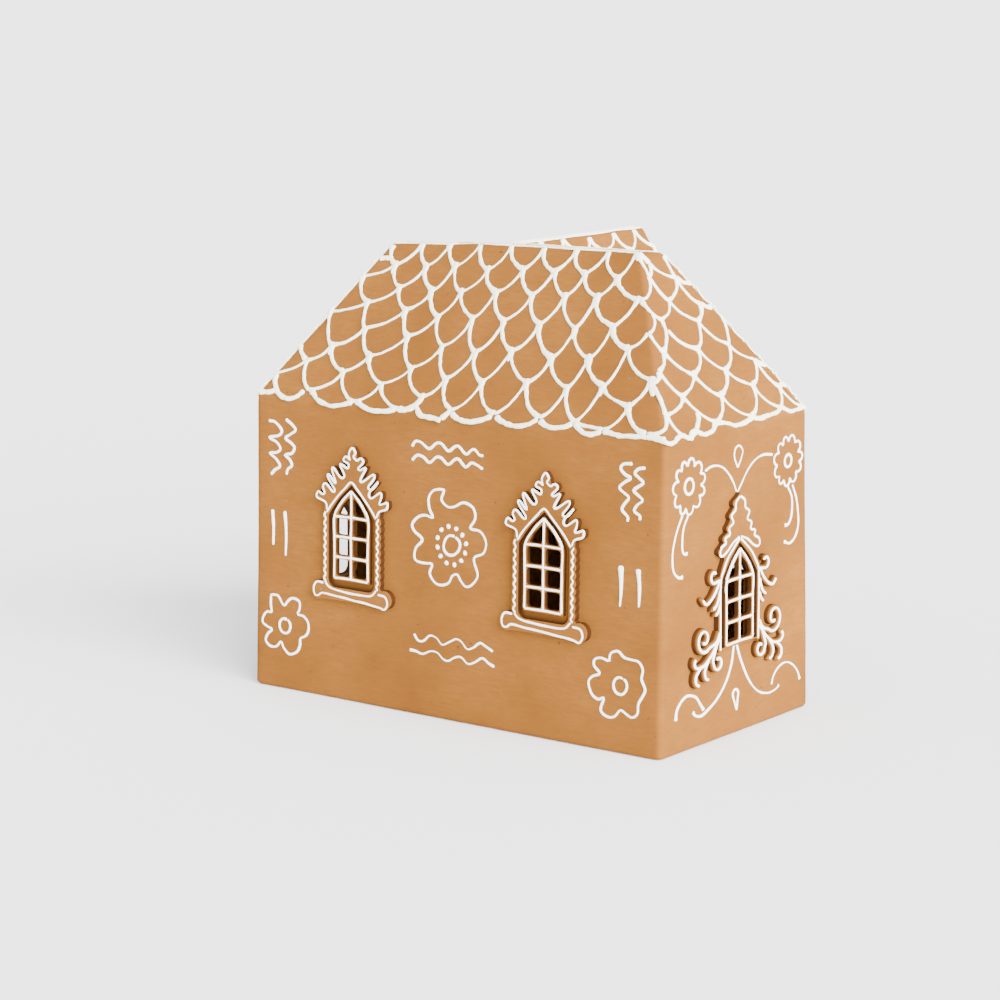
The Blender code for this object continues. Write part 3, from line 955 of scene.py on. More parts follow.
@dataclass
class MouldedWindow:
    """A window moulded onto a wall: a plate, a sunk arch round the grille, and the grille's bars."""
    name: str
    wall: Wall
    seed: int
    relief: float = 3.2
    root: float = 1.5
    grille_thickness: float = 2.3
    groove_depth: float = 2.3
    bar: float = 1.9
    edge: float = 0.4
    line_width: float = 0.98
    grille_half: float = 10.3
    grille_rows: tuple[float, ...] = (0.0, 10.1, 19.9, 29.6)
    grille_apex: float = 42.0
    grilled: bool = True

    def plate(self) -> Array:
        """Outline of the plate."""
        raise NotImplementedError

    def arches(self) -> tuple[Array, Array, Array]:
        """Outlines of the sunk arch's outside, its inside, and the opening behind the grille."""
        raise NotImplementedError

    def wall_opening(self) -> Array:
        """Outline of the opening in the wall behind the plate."""
        raise NotImplementedError

    def opening(self) -> tuple[Wall, Array]:
        """What the shell needs to cut its opening."""
        return self.wall, self.wall_opening()

    def panes(self) -> list[Array]:
        """Outlines of the panes: two columns of rows, and the two halves of the pointed top."""
        gap, half, rows = self.bar / 2, self.grille_half - self.bar / 2, self.grille_rows
        outlines = []
        for side in (1, -1):
            for low, high in zip(rows, rows[1:]):
                outlines.append([(gap, low + gap), (half, low + gap), (half, high - gap), (gap, high - gap)])
            spring, rise = rows[-1], self.grille_apex - rows[-1]
            outlines.append([(gap, spring + gap), (half - 0.9, spring + gap), (half * 0.62, spring + rise * 0.44),
                             (gap, spring + rise * 0.8)])
            outlines[-4:] = [np.array(o) * np.array([side, 1.0]) for o in outlines[-4:]]
        outlines = [o if self.turns_left(o) else o[::-1] for o in outlines]
        return [soften(o, 0.12) for o in outlines]

    @staticmethod
    def turns_left(outline: Array) -> bool:
        """Whether an outline runs anticlockwise."""
        after = np.roll(outline, -1, axis=0)
        return float((outline[:, 0] * after[:, 1] - after[:, 0] * outline[:, 1]).sum()) > 0

    def add_clay(self, parts: MeshParts) -> None:
        """Add the plate with its sunk arch and grille, or with an open arch where there is no grille."""
        plate = Boundary.rounded(self.plate(), -self.root, self.relief, self.edge)
        if not self.grilled:
            hole = Boundary.rounded(self.wall_opening(), -self.root, self.relief, self.edge, hole=True)
            add_slab(parts, self.wall, plate, [hole])
            return
        outer, inner, opening = self.arches()
        floor = self.relief - self.groove_depth
        rounded = Boundary.rounded(outer, floor, self.relief, self.edge, hole=True)
        hole = Boundary([opening, opening] + rounded.outlines, [-self.root, floor] + rounded.heights)
        add_slab(parts, self.wall, plate, [hole])
        low = self.relief - self.grille_thickness
        holes = [Boundary.rounded(p, low, self.relief, 0.35, hole=True) for p in self.panes()]
        add_slab(parts, self.wall, Boundary.rounded(inner, low, self.relief, self.edge), holes)

    def build_clay(self, dresser: Dresser) -> bpy.types.Object:
        """Make the clay relief."""
        parts = MeshParts()
        self.add_clay(parts)
        return dresser.dress(parts.to_object(self.name + "_relief", 50.0), Slot.CLAY)

    def grille_lines(self, lines: PipedLines) -> None:
        """Pipe along the grille's bars: cross bars first, then the middle bar and the pointed frame."""
        half, rows, apex = self.grille_half, self.grille_rows, self.grille_apex
        width, lift = self.line_width, self.relief - 0.1
        for row in rows[1:]:
            lines.line(self.wall, [(-half, row - 0.1), (0, row + 0.15), (half, row)], width, lift=lift)
        lines.line(self.wall, [(0.1, -0.1), (-0.1, apex * 0.5), (0, apex)], width * 1.05, lift=lift)
        middle = (half / 2 + 0.9, (rows[-1] + apex) / 2 + 0.7)
        side = [(half + 0.15, 0), (half - 0.1, rows[1]), (half + 0.05, rows[2]), (half, rows[3]), middle, (0, apex + 0.4)]
        lines.line(self.wall, side, width * 1.1, lift=lift)
        lines.line(self.wall, [(-u, v) for u, v in side], width * 1.1, lift=lift)
        lines.line(self.wall, [(-half, -0.1), (0, 0.15), (half, -0.1)], width * 1.1, lift=lift)

    def build_icing(self, dresser: Dresser) -> bpy.types.Object:
        """Pipe the window."""
        lines = PipedLines(self.name + "_icing", self.seed, 0.6, flatness=0.34)
        if self.grilled:
            self.grille_lines(lines)
        self.trim_lines(lines)
        return lines.finish(dresser)

    def trim_lines(self, lines: PipedLines) -> None:
        """Pipe everything outside the grille."""
        raise NotImplementedError


@dataclass
class LancetWindow(MouldedWindow):
    """A window with a finial, six crocket fingers a side, scalloped sides and a bone-shaped sill."""
    margin: float = 0.45

    CROWN_LEFT = ((-0.7, 57.3), (-3.5, 58.6), (-4.9, 56.6), (-1.8, 55.2), (-2.4, 53.0), (-7.1, 54.6), (-4.3, 49.6),
                  (-6.6, 48.2), (-11.3, 52.5), (-11.8, 50.9), (-9.7, 45.8), (-10.5, 45.5), (-14.1, 49.0),
                  (-14.4, 47.4), (-10.2, 42.1), (-11.6, 41.0), (-15.9, 44.5), (-17.6, 42.7), (-16.4, 40.0),
                  (-18.1, 39.1), (-20.4, 40.3), (-21.3, 37.4), (-15.9, 35.5), (-14.9, 31.9))
    CROWN_RIGHT = ((3.2, 57.1), (5.7, 58.5), (7.1, 56.8), (4.0, 53.7), (5.4, 53.0), (8.7, 54.3), (5.4, 48.4),
                   (7.1, 47.7), (13.1, 51.6), (13.7, 49.8), (10.1, 45.3), (12.6, 44.5), (16.2, 48.5), (11.5, 43.7),
                   (10.7, 41.3), (12.6, 40.4), (17.5, 43.5), (18.1, 41.3), (17.0, 38.0), (19.7, 38.5), (21.7, 39.2),
                   (21.4, 36.2), (17.0, 34.4), (15.4, 31.4))
    SILL = ((-17.1, -3.5), (-21.4, -3.6), (-23.1, -6.7), (-22.3, -9.8), (-20.0, -9.8), (-17.7, -8.5), (-9.8, -9.0),
            (1.5, -9.8), (12.7, -10.6), (17.7, -11.2), (20.4, -11.8), (22.3, -9.2), (20.9, -5.7), (16.5, -5.0))

    def plate(self) -> Array:
        """Sill, scallops and crown up the right side, over the finial, and down the left side.

        The crown is the crown line's own curve, and the whole outline stands a margin outside that.
        """
        sill_end = arc((20.3, -7.3), 4.0, -115, 120, 12)
        count, top, bottom, half = 9, 31.0, -2.0, 16.7
        turn = np.linspace(0, 1, count * 6 + 1)
        scallops = np.stack([half + 0.85 * np.abs(np.sin(turn * count * np.pi)) ** 0.7,
                             bottom + (top - bottom) * turn], 1)
        lower = np.vstack([[(8.0, -10.6), (15.5, -10.8)], sill_end, scallops])
        crown_right = smooth_curve(self.CROWN_RIGHT[:-1], 4)[::-1]
        crown_left = smooth_curve(self.CROWN_LEFT[:-1], 4)
        finial = np.array([(2.8, 58.6), (2.3, 60.8), (0.5, 63.0), (-1.3, 60.8), (-1.3, 58.6)])
        flip = np.array([-1.0, 1.0])
        outline = np.vstack([lower, crown_right, finial, crown_left, lower[::-1] * flip])
        return drawn_in(outline, -self.margin)

    def arches(self) -> tuple[Array, Array, Array]:
        """The sunk arch between plate and grille, and the opening."""
        return (pointed_arch(14.2, -4.9, 29.6, 45.2, 4.0), pointed_arch(11.3, -1.2, 29.2, 43.2, 0.5),
                pointed_arch(10.9, -0.8, 29.0, 42.6, 0.5))

    def wall_opening(self) -> Array:
        """A lancet a little wider than the grille."""
        return pointed_arch(13.2, -2.6, 29.4, 44.4, 2.0)

    def trim_lines(self, lines: PipedLines) -> None:
        """Pipe the crown, the finial, the arch, the wavy sides, the curve below and the sill."""
        width, lift, wall = self.line_width, self.relief - 0.1, self.wall
        lines.line(wall, [(-15.0, 30.8), (-11.8, 35.2), (-7.9, 39.4), (-3.8, 43.4), (0.0, 46.6), (3.8, 43.4),
                          (7.9, 39.4), (11.8, 35.2), (15.0, 30.8)], width, lift=lift)
        turn = np.linspace(0, 1, 37)
        for side in (-1, 1):
            wave = side * (16.1 + 0.55 * np.sin(turn * 2 * np.pi * 9 + side))
            lines.line(wall, np.stack([wave, 31.0 - 34.2 * turn], 1), width * 0.95, lift=lift, per_span=3, shake=0.05)
        lines.line(wall, [(-16.0, -3.0), (-12.8, -5.3), (-4.1, -6.5), (4.9, -6.8), (12.1, -6.3), (15.6, -3.2)],
                   width, lift=lift)
        lines.line(wall, self.SILL, width * 1.05, lift=lift)
        lines.line(wall, self.CROWN_LEFT, width, lift=lift, per_span=5, shake=0.03)
        lines.line(wall, self.CROWN_RIGHT, width, lift=lift, per_span=5, shake=0.03)
        lines.line(wall, [(-0.9, 57.0), (-1.6, 60.2), (0.4, 63.0), (2.3, 60.6), (1.2, 58.9), (3.4, 57.0)],
                   width, lift=lift, shake=0.03)


@dataclass
class ScrollWindow(MouldedWindow):
    """A window with a tree-shaped crown and scrolls and leaves down both sides."""
    relief: float = 2.8
    grille_half: float = 10.9
    grille_rows: tuple[float, ...] = (0.0, 10.1, 19.8, 29.4)
    grille_apex: float = 42.4
    scroll_relief: float = 3.0

    CROWN = ((0.2, 66.9), (3.6, 64.6), (4.1, 61.2), (7.4, 59.0), (5.8, 55.6), (9.2, 53.6), (8.6, 50.6), (12.4, 49.4),
             (11.9, 47.2), (15.4, 45.4), (16.4, 42.9), (14.6, 41.6), (10.6, 43.2), (6.0, 46.3), (0.6, 48.4))

    def plate(self) -> Array:
        """Right half from the bottom up: frame, shoulder, and five rounded bumps up to the tip."""
        half = [np.array([(0.0, -1.1), (8.0, -1.1), (14.6, -1.1), (15.2, -2.4), (17.0, -2.4), (17.1, 10.0),
                          (17.1, 20.0), (17.0, 30.6), (14.8, 35.8), (12.6, 39.6), (12.9, 40.6)])]
        bumps = [(16.0, 43.7), (12.6, 49.0), (9.4, 53.3), (7.3, 58.7), (4.3, 64.1)]
        for bump in bumps:
            half.append(arc(bump, 1.6, -70, 80, 7))
        half.append(np.array([(1.5, 67.2), (0.0, 68.6)]))
        return mirrored(np.vstack(half))

    def arches(self) -> tuple[Array, Array, Array]:
        """The sunk arch between plate and grille, and the opening."""
        return (pointed_arch(14.8, -0.95, 30.2, 46.0, 0.3), pointed_arch(11.9, -1.2, 29.4, 43.7, 0.4),
                pointed_arch(11.5, -0.7, 29.2, 42.9, 0.4))

    def wall_opening(self) -> Array:
        """A lancet wider than the grille, or as wide as the frame where there is no grille."""
        return pointed_arch(13.6, -0.5, 29.4, 44.6, 0.5) if self.grilled else pointed_arch(14.4, -0.6, 29.4, 44.0, 4.0)

    @staticmethod
    def spiral(centre: tuple[float, float], radii: tuple[float, float], start: float, turn: float,
               steps: int) -> list[tuple[float, float]]:
        """Points of a spiral whose radius changes evenly with its angle, in degrees."""
        share = np.linspace(0, 1, steps + 1)
        radius, angle = radii[0] + (radii[1] - radii[0]) * share, np.radians(start + turn * share)
        flat = np.array(centre) + radius[:, None] * np.stack([np.cos(angle), np.sin(angle)], 1)
        return [tuple(p) for p in flat]

    def strokes(self, side: int) -> list[tuple[list[tuple[float, float]], float, float]]:
        """The strokes of one side, as if it were the right: path, width at the start and at the end."""
        spiral, volute = self.spiral, 6.9 if side > 0 else 6.2
        return [
            ([(15.6, 31.0)] + spiral((21.4, 33.4), (3.2, 1.5), -115, 270, 8), 3.2, 2.7),
            ([(16.6, 31.0), (19.8, 26.5), (23.5, 23.3), (27.8, 21.8), (31.3, 25.0)], 3.3, 2.5),
            ([(16.4, 26.4), (18.7, 20.7), (23.0, 17.5)], 3.2, 2.2),
            ([(16.4, 20.0), (18.0, 16.6), (20.6, 14.9)], 3.0, 2.2),
            ([(16.4, 7.0), (19.5, 2.8)] + spiral((29.0, 5.9), (volute, 1.3), -135, 450, 16), 3.5, 2.8),
            ([(16.4, 4.4), (22.5, -1.7), (28.5, -5.7), (34.6, -6.2), (36.9, -3.9), (35.3, -1.3)], 3.2, 2.8),
            ([(31.0, -6.0), (35.4, -9.5), (35.4, -13.2), (32.0, -15.0)], 3.0, 2.8),
            ([(24.8, -3.5), (28.4, -8.3), (27.6, -12.2), (24.6, -13.3)], 3.0, 2.8),
            ([(19.0, 1.6), (21.9, -4.6)] + spiral((17.6, -6.6), (3.9, 1.5), 0, -320, 9), 3.0, 2.6)]

    def add_clay(self, parts: MeshParts) -> None:
        """Add the plate and grille, and the scrolls as round-topped ribs."""
        super().add_clay(parts)
        for side in (1, -1):
            for order, (points, first, last) in enumerate(self.strokes(side)):
                flat = smooth_curve(points, 5) * np.array([side, 1.0])
                length = along(flat)[-1]
                at = np.linspace(0, length, max(8, int(length / 0.8)))
                flat = resample(flat, at)
                end = np.sqrt(np.clip(1 - (1 - np.clip((length - at) / (last * 0.55), 0, 1)) ** 2, 0.02, 1))
                half = (first + (last - first) * at / length) / 2 * end
                top = np.full(len(at), self.scroll_relief - 0.04 * order) * (0.55 + 0.45 * end)
                path, out = self.wall.place(flat)
                # The ribs' sides get painted shade, strongest at their foot.
                add_sweep(parts, path, out, half, top, RIB_ROUND, shade_strength=0.92)

    def trim_lines(self, lines: PipedLines) -> None:
        """Pipe the frame, the crown and a line along the top of every scroll."""
        width, lift, wall = self.line_width, self.relief - 0.1, self.wall
        frame_side = [(15.7, -1.6), (15.9, 12.0), (15.8, 29.6), (13.2, 35.4), (8.8, 41.0), (0.3, 47.6)]
        for side in (1, -1):
            lines.line(wall, [(side * u, v) for u, v in frame_side], width * 1.1, lift=lift)
            lines.line(wall, [(side * u, v) for u, v in self.CROWN], width * 1.1, lift=lift, shake=0.05)
            for points, _, last in self.strokes(side):
                flat = smooth_curve(points, 4) * np.array([side, 1.0])
                lines.line(wall, flat[:-1], min(width * 1.25, last * 0.62), lift=self.scroll_relief - 0.15, per_span=2,
                           end_blob=0.15, shake=0.05)


# ---------------------------------------------------------------------------------------------
# Piped decoration of the walls
# ---------------------------------------------------------------------------------------------

@dataclass
class WallPiping:
    """Flowers, wavy lines, strokes and stems piped on the walls."""
    house: House
    width: float = 1.2
    lines: list[PipedLines] = field(default_factory=list)

    LEFT_FLOWER = ((-8.9, 13.5), (-8.6, 14.4), (-4.4, 14.4), (-1.8, 11.0), (-0.2, 10.2), (1.8, 12.6), (4.8, 14.4),
                   (9.2, 13.2), (9.4, 9.6), (8.2, 6.8), (11.8, 6.4), (14.6, 3.8), (15.0, 0.0), (13.2, -3.0),
                   (9.8, -4.8), (9.6, -8.0), (7.6, -11.6), (2.8, -13.4), (-0.8, -11.0), (-2.4, -8.0),
                   (-5.4, -10.8), (-9.4, -11.0), (-12.4, -8.6), (-11.0, -5.2), (-8.4, -2.8), (-11.6, -1.6),
                   (-14.4, 0.2), (-13.8, 3.2), (-11.4, 5.6), (-8.6, 5.8), (-9.0, 9.0), (-9.0, 13.8))
    RIGHT_FLOWER = ((-6.4, 10.2), (-5.4, 14.2), (-1.4, 15.6), (1.6, 13.2), (5.6, 12.8), (9.8, 12.4), (12.0, 9.2),
                    (11.4, 4.8), (13.4, 0.2), (12.0, -3.2), (10.0, -6.8), (9.6, -11.2), (6.6, -13.4), (3.6, -12.4),
                    (0.4, -11.0), (-3.0, -14.4), (-7.0, -14.8), (-10.4, -12.4), (-8.8, -6.8), (-12.0, -7.8),
                    (-15.4, -5.8), (-17.4, -0.8), (-15.4, 2.2), (-11.4, 4.2), (-14.4, 7.2), (-14.0, 10.2),
                    (-10.4, 11.2), (-6.6, 10.4))
    LARGE_FLOWER = ((-5.3, 24.6), (-4.6, 25.4), (-7.8, 25.4), (-11.6, 24.0), (-13.8, 20.4), (-13.2, 15.6),
                    (-11.2, 11.8), (-15.4, 12.4), (-19.6, 11.4), (-23.4, 7.4), (-21.8, 4.0), (-17.2, 0.8),
                    (-21.2, -3.8), (-21.4, -9.2), (-15.6, -10.2), (-11.4, -10.2), (-12.8, -14.6), (-9.4, -18.6),
                    (-5.4, -19.2), (-1.4, -17.6), (0.6, -14.2), (3.6, -13.2), (5.6, -15.6), (8.8, -18.2),
                    (12.6, -16.6), (15.6, -12.0), (13.2, -4.6), (18.6, -1.6), (20.2, 3.8), (16.8, 8.4),
                    (10.8, 9.4), (13.6, 14.0), (12.2, 19.0), (6.8, 20.8), (1.6, 18.4), (-2.6, 17.8), (-6.2, 20.6),
                    (-4.8, 24.8))

    def flower(self, lines: PipedLines, wall: Wall, centre: tuple[float, float], outline: tuple, ring: float,
               size: float = 1.0, dots: float = 0.0) -> None:
        """Pipe a flower: its outline, a ring in the middle, and twelve dots round that if wanted."""
        middle = np.array(centre)
        lines.line(wall, middle + size * np.array(outline), self.width, per_span=5)
        turn = np.radians(np.linspace(70, 425, 13))
        loop = np.stack([np.cos(turn) * 1.05, np.sin(turn) * 0.97], 1) * ring
        loop = loop * (1 + 0.08 * np.sin(2.3 * turn + ring))[:, None]
        lines.line(wall, middle + loop, self.width * 1.08)
        for k in range(12 if dots else 0):
            angle = math.radians(12 + 30 * k)
            spot = middle + dots * np.array([math.cos(angle), math.sin(angle)]) * (1 + 0.04 * math.sin(5 * k))
            lines.dot(wall, tuple(spot), 1.15)

    def front_wall(self) -> PipedLines:
        """Pipe the front wall: three flowers, two level pairs of waves, two upright pairs, and strokes."""
        lines, wall, width = PipedLines("front_wall_icing", 11), self.house.front(), self.width
        self.flower(lines, wall, (-100.5, 31.2), self.LEFT_FLOWER, 3.5)
        self.flower(lines, wall, (97.5, 31.0), self.RIGHT_FLOWER, 3.7)
        self.flower(lines, wall, (1.4, 83.0), self.LARGE_FLOWER, 4.6, dots=8.7)
        waves = [
            [(-22.6, 126.8), (-20.4, 129.4), (-17.0, 129.2), (-12.4, 126.8), (-8.4, 129.6), (-5.2, 129.8),
             (-1.2, 126.8), (2.6, 129.2), (5.2, 129.4), (9.2, 126.4), (12.4, 128.6), (14.4, 128.8), (17.0, 126.6),
             (19.2, 126.6)],
            [(-22.4, 120.4), (-19.4, 123.0), (-15.6, 122.4), (-12.0, 120.4), (-8.2, 123.2), (-5.2, 123.2),
             (-1.2, 120.4), (2.8, 123.2), (5.2, 123.4), (9.0, 120.4), (12.2, 122.6), (14.6, 122.4), (19.0, 120.4)],
            [(-20.2, 38.6), (-17.8, 35.8), (-14.6, 35.8), (-10.4, 39.0), (-6.4, 38.2), (-3.2, 35.6), (1.0, 37.6),
             (4.8, 39.6), (8.0, 38.6), (11.2, 35.6), (15.0, 36.8), (18.8, 39.6), (22.2, 38.4), (26.2, 36.6)],
            [(-22.8, 30.6), (-19.0, 30.4), (-15.0, 29.6), (-10.2, 31.6), (-6.2, 31.4), (-3.0, 29.0), (0.2, 28.4),
             (4.0, 30.6), (8.0, 31.4), (12.0, 28.8), (16.0, 30.2), (20.2, 32.6), (24.0, 30.6), (27.2, 29.6)],
            [(-111.0, 130.6), (-107.0, 130.2), (-102.8, 126.6), (-104.8, 124.0), (-110.8, 122.6), (-106.0, 120.6),
             (-103.6, 117.6), (-106.2, 115.6), (-110.4, 115.0), (-106.2, 112.4), (-103.8, 109.2), (-107.0, 107.2),
             (-109.6, 104.6)],
            [(-100.2, 132.2), (-96.4, 130.0), (-94.0, 127.6), (-97.0, 125.4), (-100.4, 123.0), (-96.8, 121.0),
             (-94.6, 119.2), (-96.2, 116.2), (-100.6, 115.0), (-97.8, 113.0), (-96.2, 110.2), (-98.8, 108.2),
             (-99.6, 105.4)],
            [(101.6, 131.6), (97.0, 130.8), (95.4, 128.6), (98.0, 126.2), (101.0, 125.0), (97.2, 122.6),
             (94.8, 120.2), (97.8, 118.0), (100.2, 116.0), (97.8, 113.0), (96.6, 110.2), (99.6, 107.6), (99.6, 105.4)],
            [(108.6, 130.2), (104.8, 129.4), (103.0, 127.2), (105.8, 125.2), (107.6, 123.6), (105.0, 121.6),
             (102.6, 119.6), (105.2, 117.6), (107.6, 115.6), (104.8, 113.4), (103.0, 110.6), (106.0, 108.8),
             (106.0, 106.8)]]
        for wave in waves:
            lines.line(wall, wave, width * 1.1, start_blob=0.25, end_blob=0.1)
        for top, bottom, fat, thin in (((-108.6, 87.6), (-108.0, 70.2), 1.6, 0.75), ((-100.6, 87.6), (-100.0, 65.8), 1.7, 0.5),
                                       ((96.6, 85.4), (96.5, 66.8), 2.4, 0.3), ((106.0, 85.0), (106.6, 67.8), 2.1, 0.4)):
            middle = ((top[0] + bottom[0]) / 2 + 0.4, (top[1] + bottom[1]) / 2)
            lines.line(wall, [top, middle, bottom], fat, taper=thin, start_blob=0.2)
        return lines

    def daisy(self, lines: PipedLines, wall: Wall, centre: tuple[float, float], phase: float, reach: float,
              ring: float) -> None:
        """Pipe an eleven-lobed flower: eleven times a turn its radius dips from the reach to 0.7 of it."""
        turn = np.linspace(0, 2 * np.pi, 133)
        lobes = np.abs(np.sin(5.5 * turn + phase + 0.25 * np.sin(3 * turn))) ** 0.6
        radius = reach * (0.70 + 0.28 * lobes + 0.03 * np.sin(2 * turn + phase))
        outline = np.stack([np.cos(turn), np.sin(turn)], 1) * radius[:, None]
        lines.line(wall, np.array(centre) + outline, self.width * 0.95, per_span=2, shake=0.2)
        loop = np.linspace(0.5, 2 * np.pi + 0.6, 14)
        lines.line(wall, np.array(centre) + ring * np.stack([np.cos(loop), np.sin(loop)], 1), self.width * 1.15)

    def end_wall(self, side: int, window_y: float) -> PipedLines:
        """Pipe an end wall round its window: two daisies on stems, two teardrops, low curves and arches."""
        name = "right" if side > 0 else "left"
        lines, wall, width = PipedLines(name + "_end_icing", 23 + side), self.house.end(side, window_y), self.width
        self.daisy(lines, wall, (-37.6, 120.4), 0.3, 12.9, 3.5)
        self.daisy(lines, wall, (44.4 if side > 0 else 42.0, 120.6), 1.1, 12.3, 2.9)
        paths = [
            [(1.0, 111.6), (-2.2, 117.4), (-7.0, 122.6), (-13.0, 126.0), (-19.4, 127.0), (-25.0, 125.6)],
            [(1.2, 112.0), (4.6, 115.8), (9.0, 120.6), (15.0, 124.6), (22.0, 126.4), (31.0, 125.4)],
            [(1.6, 123.4), (-1.2, 128.2), (-0.8, 132.0), (2.4, 133.4), (5.4, 131.0), (4.2, 127.4), (1.6, 123.4)],
            [(2.2, 10.8), (2.8, 15.6), (3.2, 19.4), (0.6, 20.8), (-1.2, 18.8), (0.4, 14.8), (2.2, 10.8)]]
        for path in paths:
            lines.line(wall, path, width)
        hooks = [
            [(-42.8, 108.4), (-47.6, 101.0), (-50.6, 92.0), (-49.8, 84.4), (-46.0, 80.8), (-42.4, 80.6)],
            [(-38.2, 107.8), (-42.0, 102.0), (-43.0, 94.4), (-41.6, 90.8), (-38.8, 90.6)],
            [(44.4, 108.6), (48.0, 103.0), (48.2, 95.4), (45.6, 90.8), (42.2, 90.4)],
            [(48.4, 108.8), (52.4, 101.0), (54.0, 90.6), (51.6, 84.2), (46.6, 81.4), (41.6, 83.0)],
            [(-0.4, 43.0), (-2.6, 33.0), (-7.6, 25.0), (-15.6, 18.6), (-25.6, 14.4), (-31.6, 15.0), (-33.8, 17.2)],
            [(1.4, 43.0), (6.4, 32.0), (12.4, 23.0), (19.4, 16.6), (28.4, 13.6), (35.6, 14.2), (38.2, 15.6)]]
        for hook in hooks:
            lines.line(wall, hook, width * 0.95, end_blob=0.8)
        for arch in ([(-47.4, 16.0), (-46.6, 20.4), (-42.6, 24.2), (-37.6, 25.6), (-31.6, 23.6), (-27.6, 19.4), (-25.0, 16.4)],
                     [(31.6, 16.8), (33.4, 21.0), (38.4, 24.4), (44.6, 25.2), (50.4, 22.6), (54.6, 18.4), (56.4, 14.4)]):
            lines.line(wall, arch, width, start_blob=0.6, end_blob=0.7)
        return lines

    def waves(self, lines: PipedLines, wall: Wall, centre: tuple[float, float], length: float, gap: float,
              upright: bool = False) -> None:
        """Pipe a pair of waves, level or upright, four swings long."""
        turn = np.linspace(0, 1, 25)
        for offset in (-gap / 2, gap / 2):
            swing = offset + 1.7 * np.sin(turn * 8 * np.pi + offset)
            run = (turn - 0.5) * length
            flat = np.stack([swing, -run] if upright else [run, swing], 1)
            lines.line(wall, np.array(centre) + flat, self.width, per_span=3, start_blob=0.25)

    def back_walls(self, window_left_x: float, window_right_x: float) -> PipedLines:
        """Pipe the back: waves over and a flower beside each window, and the wing's gable and sides."""
        lines, house = PipedLines("back_wall_icing", 41), self.house
        for x, outline in ((window_left_x, self.LEFT_FLOWER), (window_right_x, self.RIGHT_FLOWER)):
            wall = house.back(x)
            self.waves(lines, wall, (0.0, 132.6), 34.0, 6.6)
            self.flower(lines, wall, (0.0, 27.0), outline, 3.6, 0.95)
        gable = house.gable()
        self.waves(lines, gable, (0.0, 34.0), 46.0, 8.0)
        self.flower(lines, gable, (-37.5, 121.0), self.LEFT_FLOWER, 2.8, 0.68)
        self.flower(lines, gable, (38.0, 121.0), self.RIGHT_FLOWER, 2.8, 0.68)
        self.waves(lines, gable, (-36.0, 66.0), 30.0, 8.0, upright=True)
        self.waves(lines, gable, (36.0, 66.0), 30.0, 8.0, upright=True)
        self.flower(lines, house.gable_top(), (0.0, 22.0), self.LARGE_FLOWER, 4.4, 0.72, dots=8.0)
        for side in (1, -1):
            wall = house.wing_side(side, 85.5)
            self.flower(lines, wall, (0.0, 80.0), self.LARGE_FLOWER, 3.7, 0.74, dots=7.0)
            self.waves(lines, wall, (0.0, 122.0), 24.0, 6.6)
            self.waves(lines, wall, (0.0, 32.0), 25.0, 7.4)
        return lines


# ---------------------------------------------------------------------------------------------
# Piped roof scales
# ---------------------------------------------------------------------------------------------

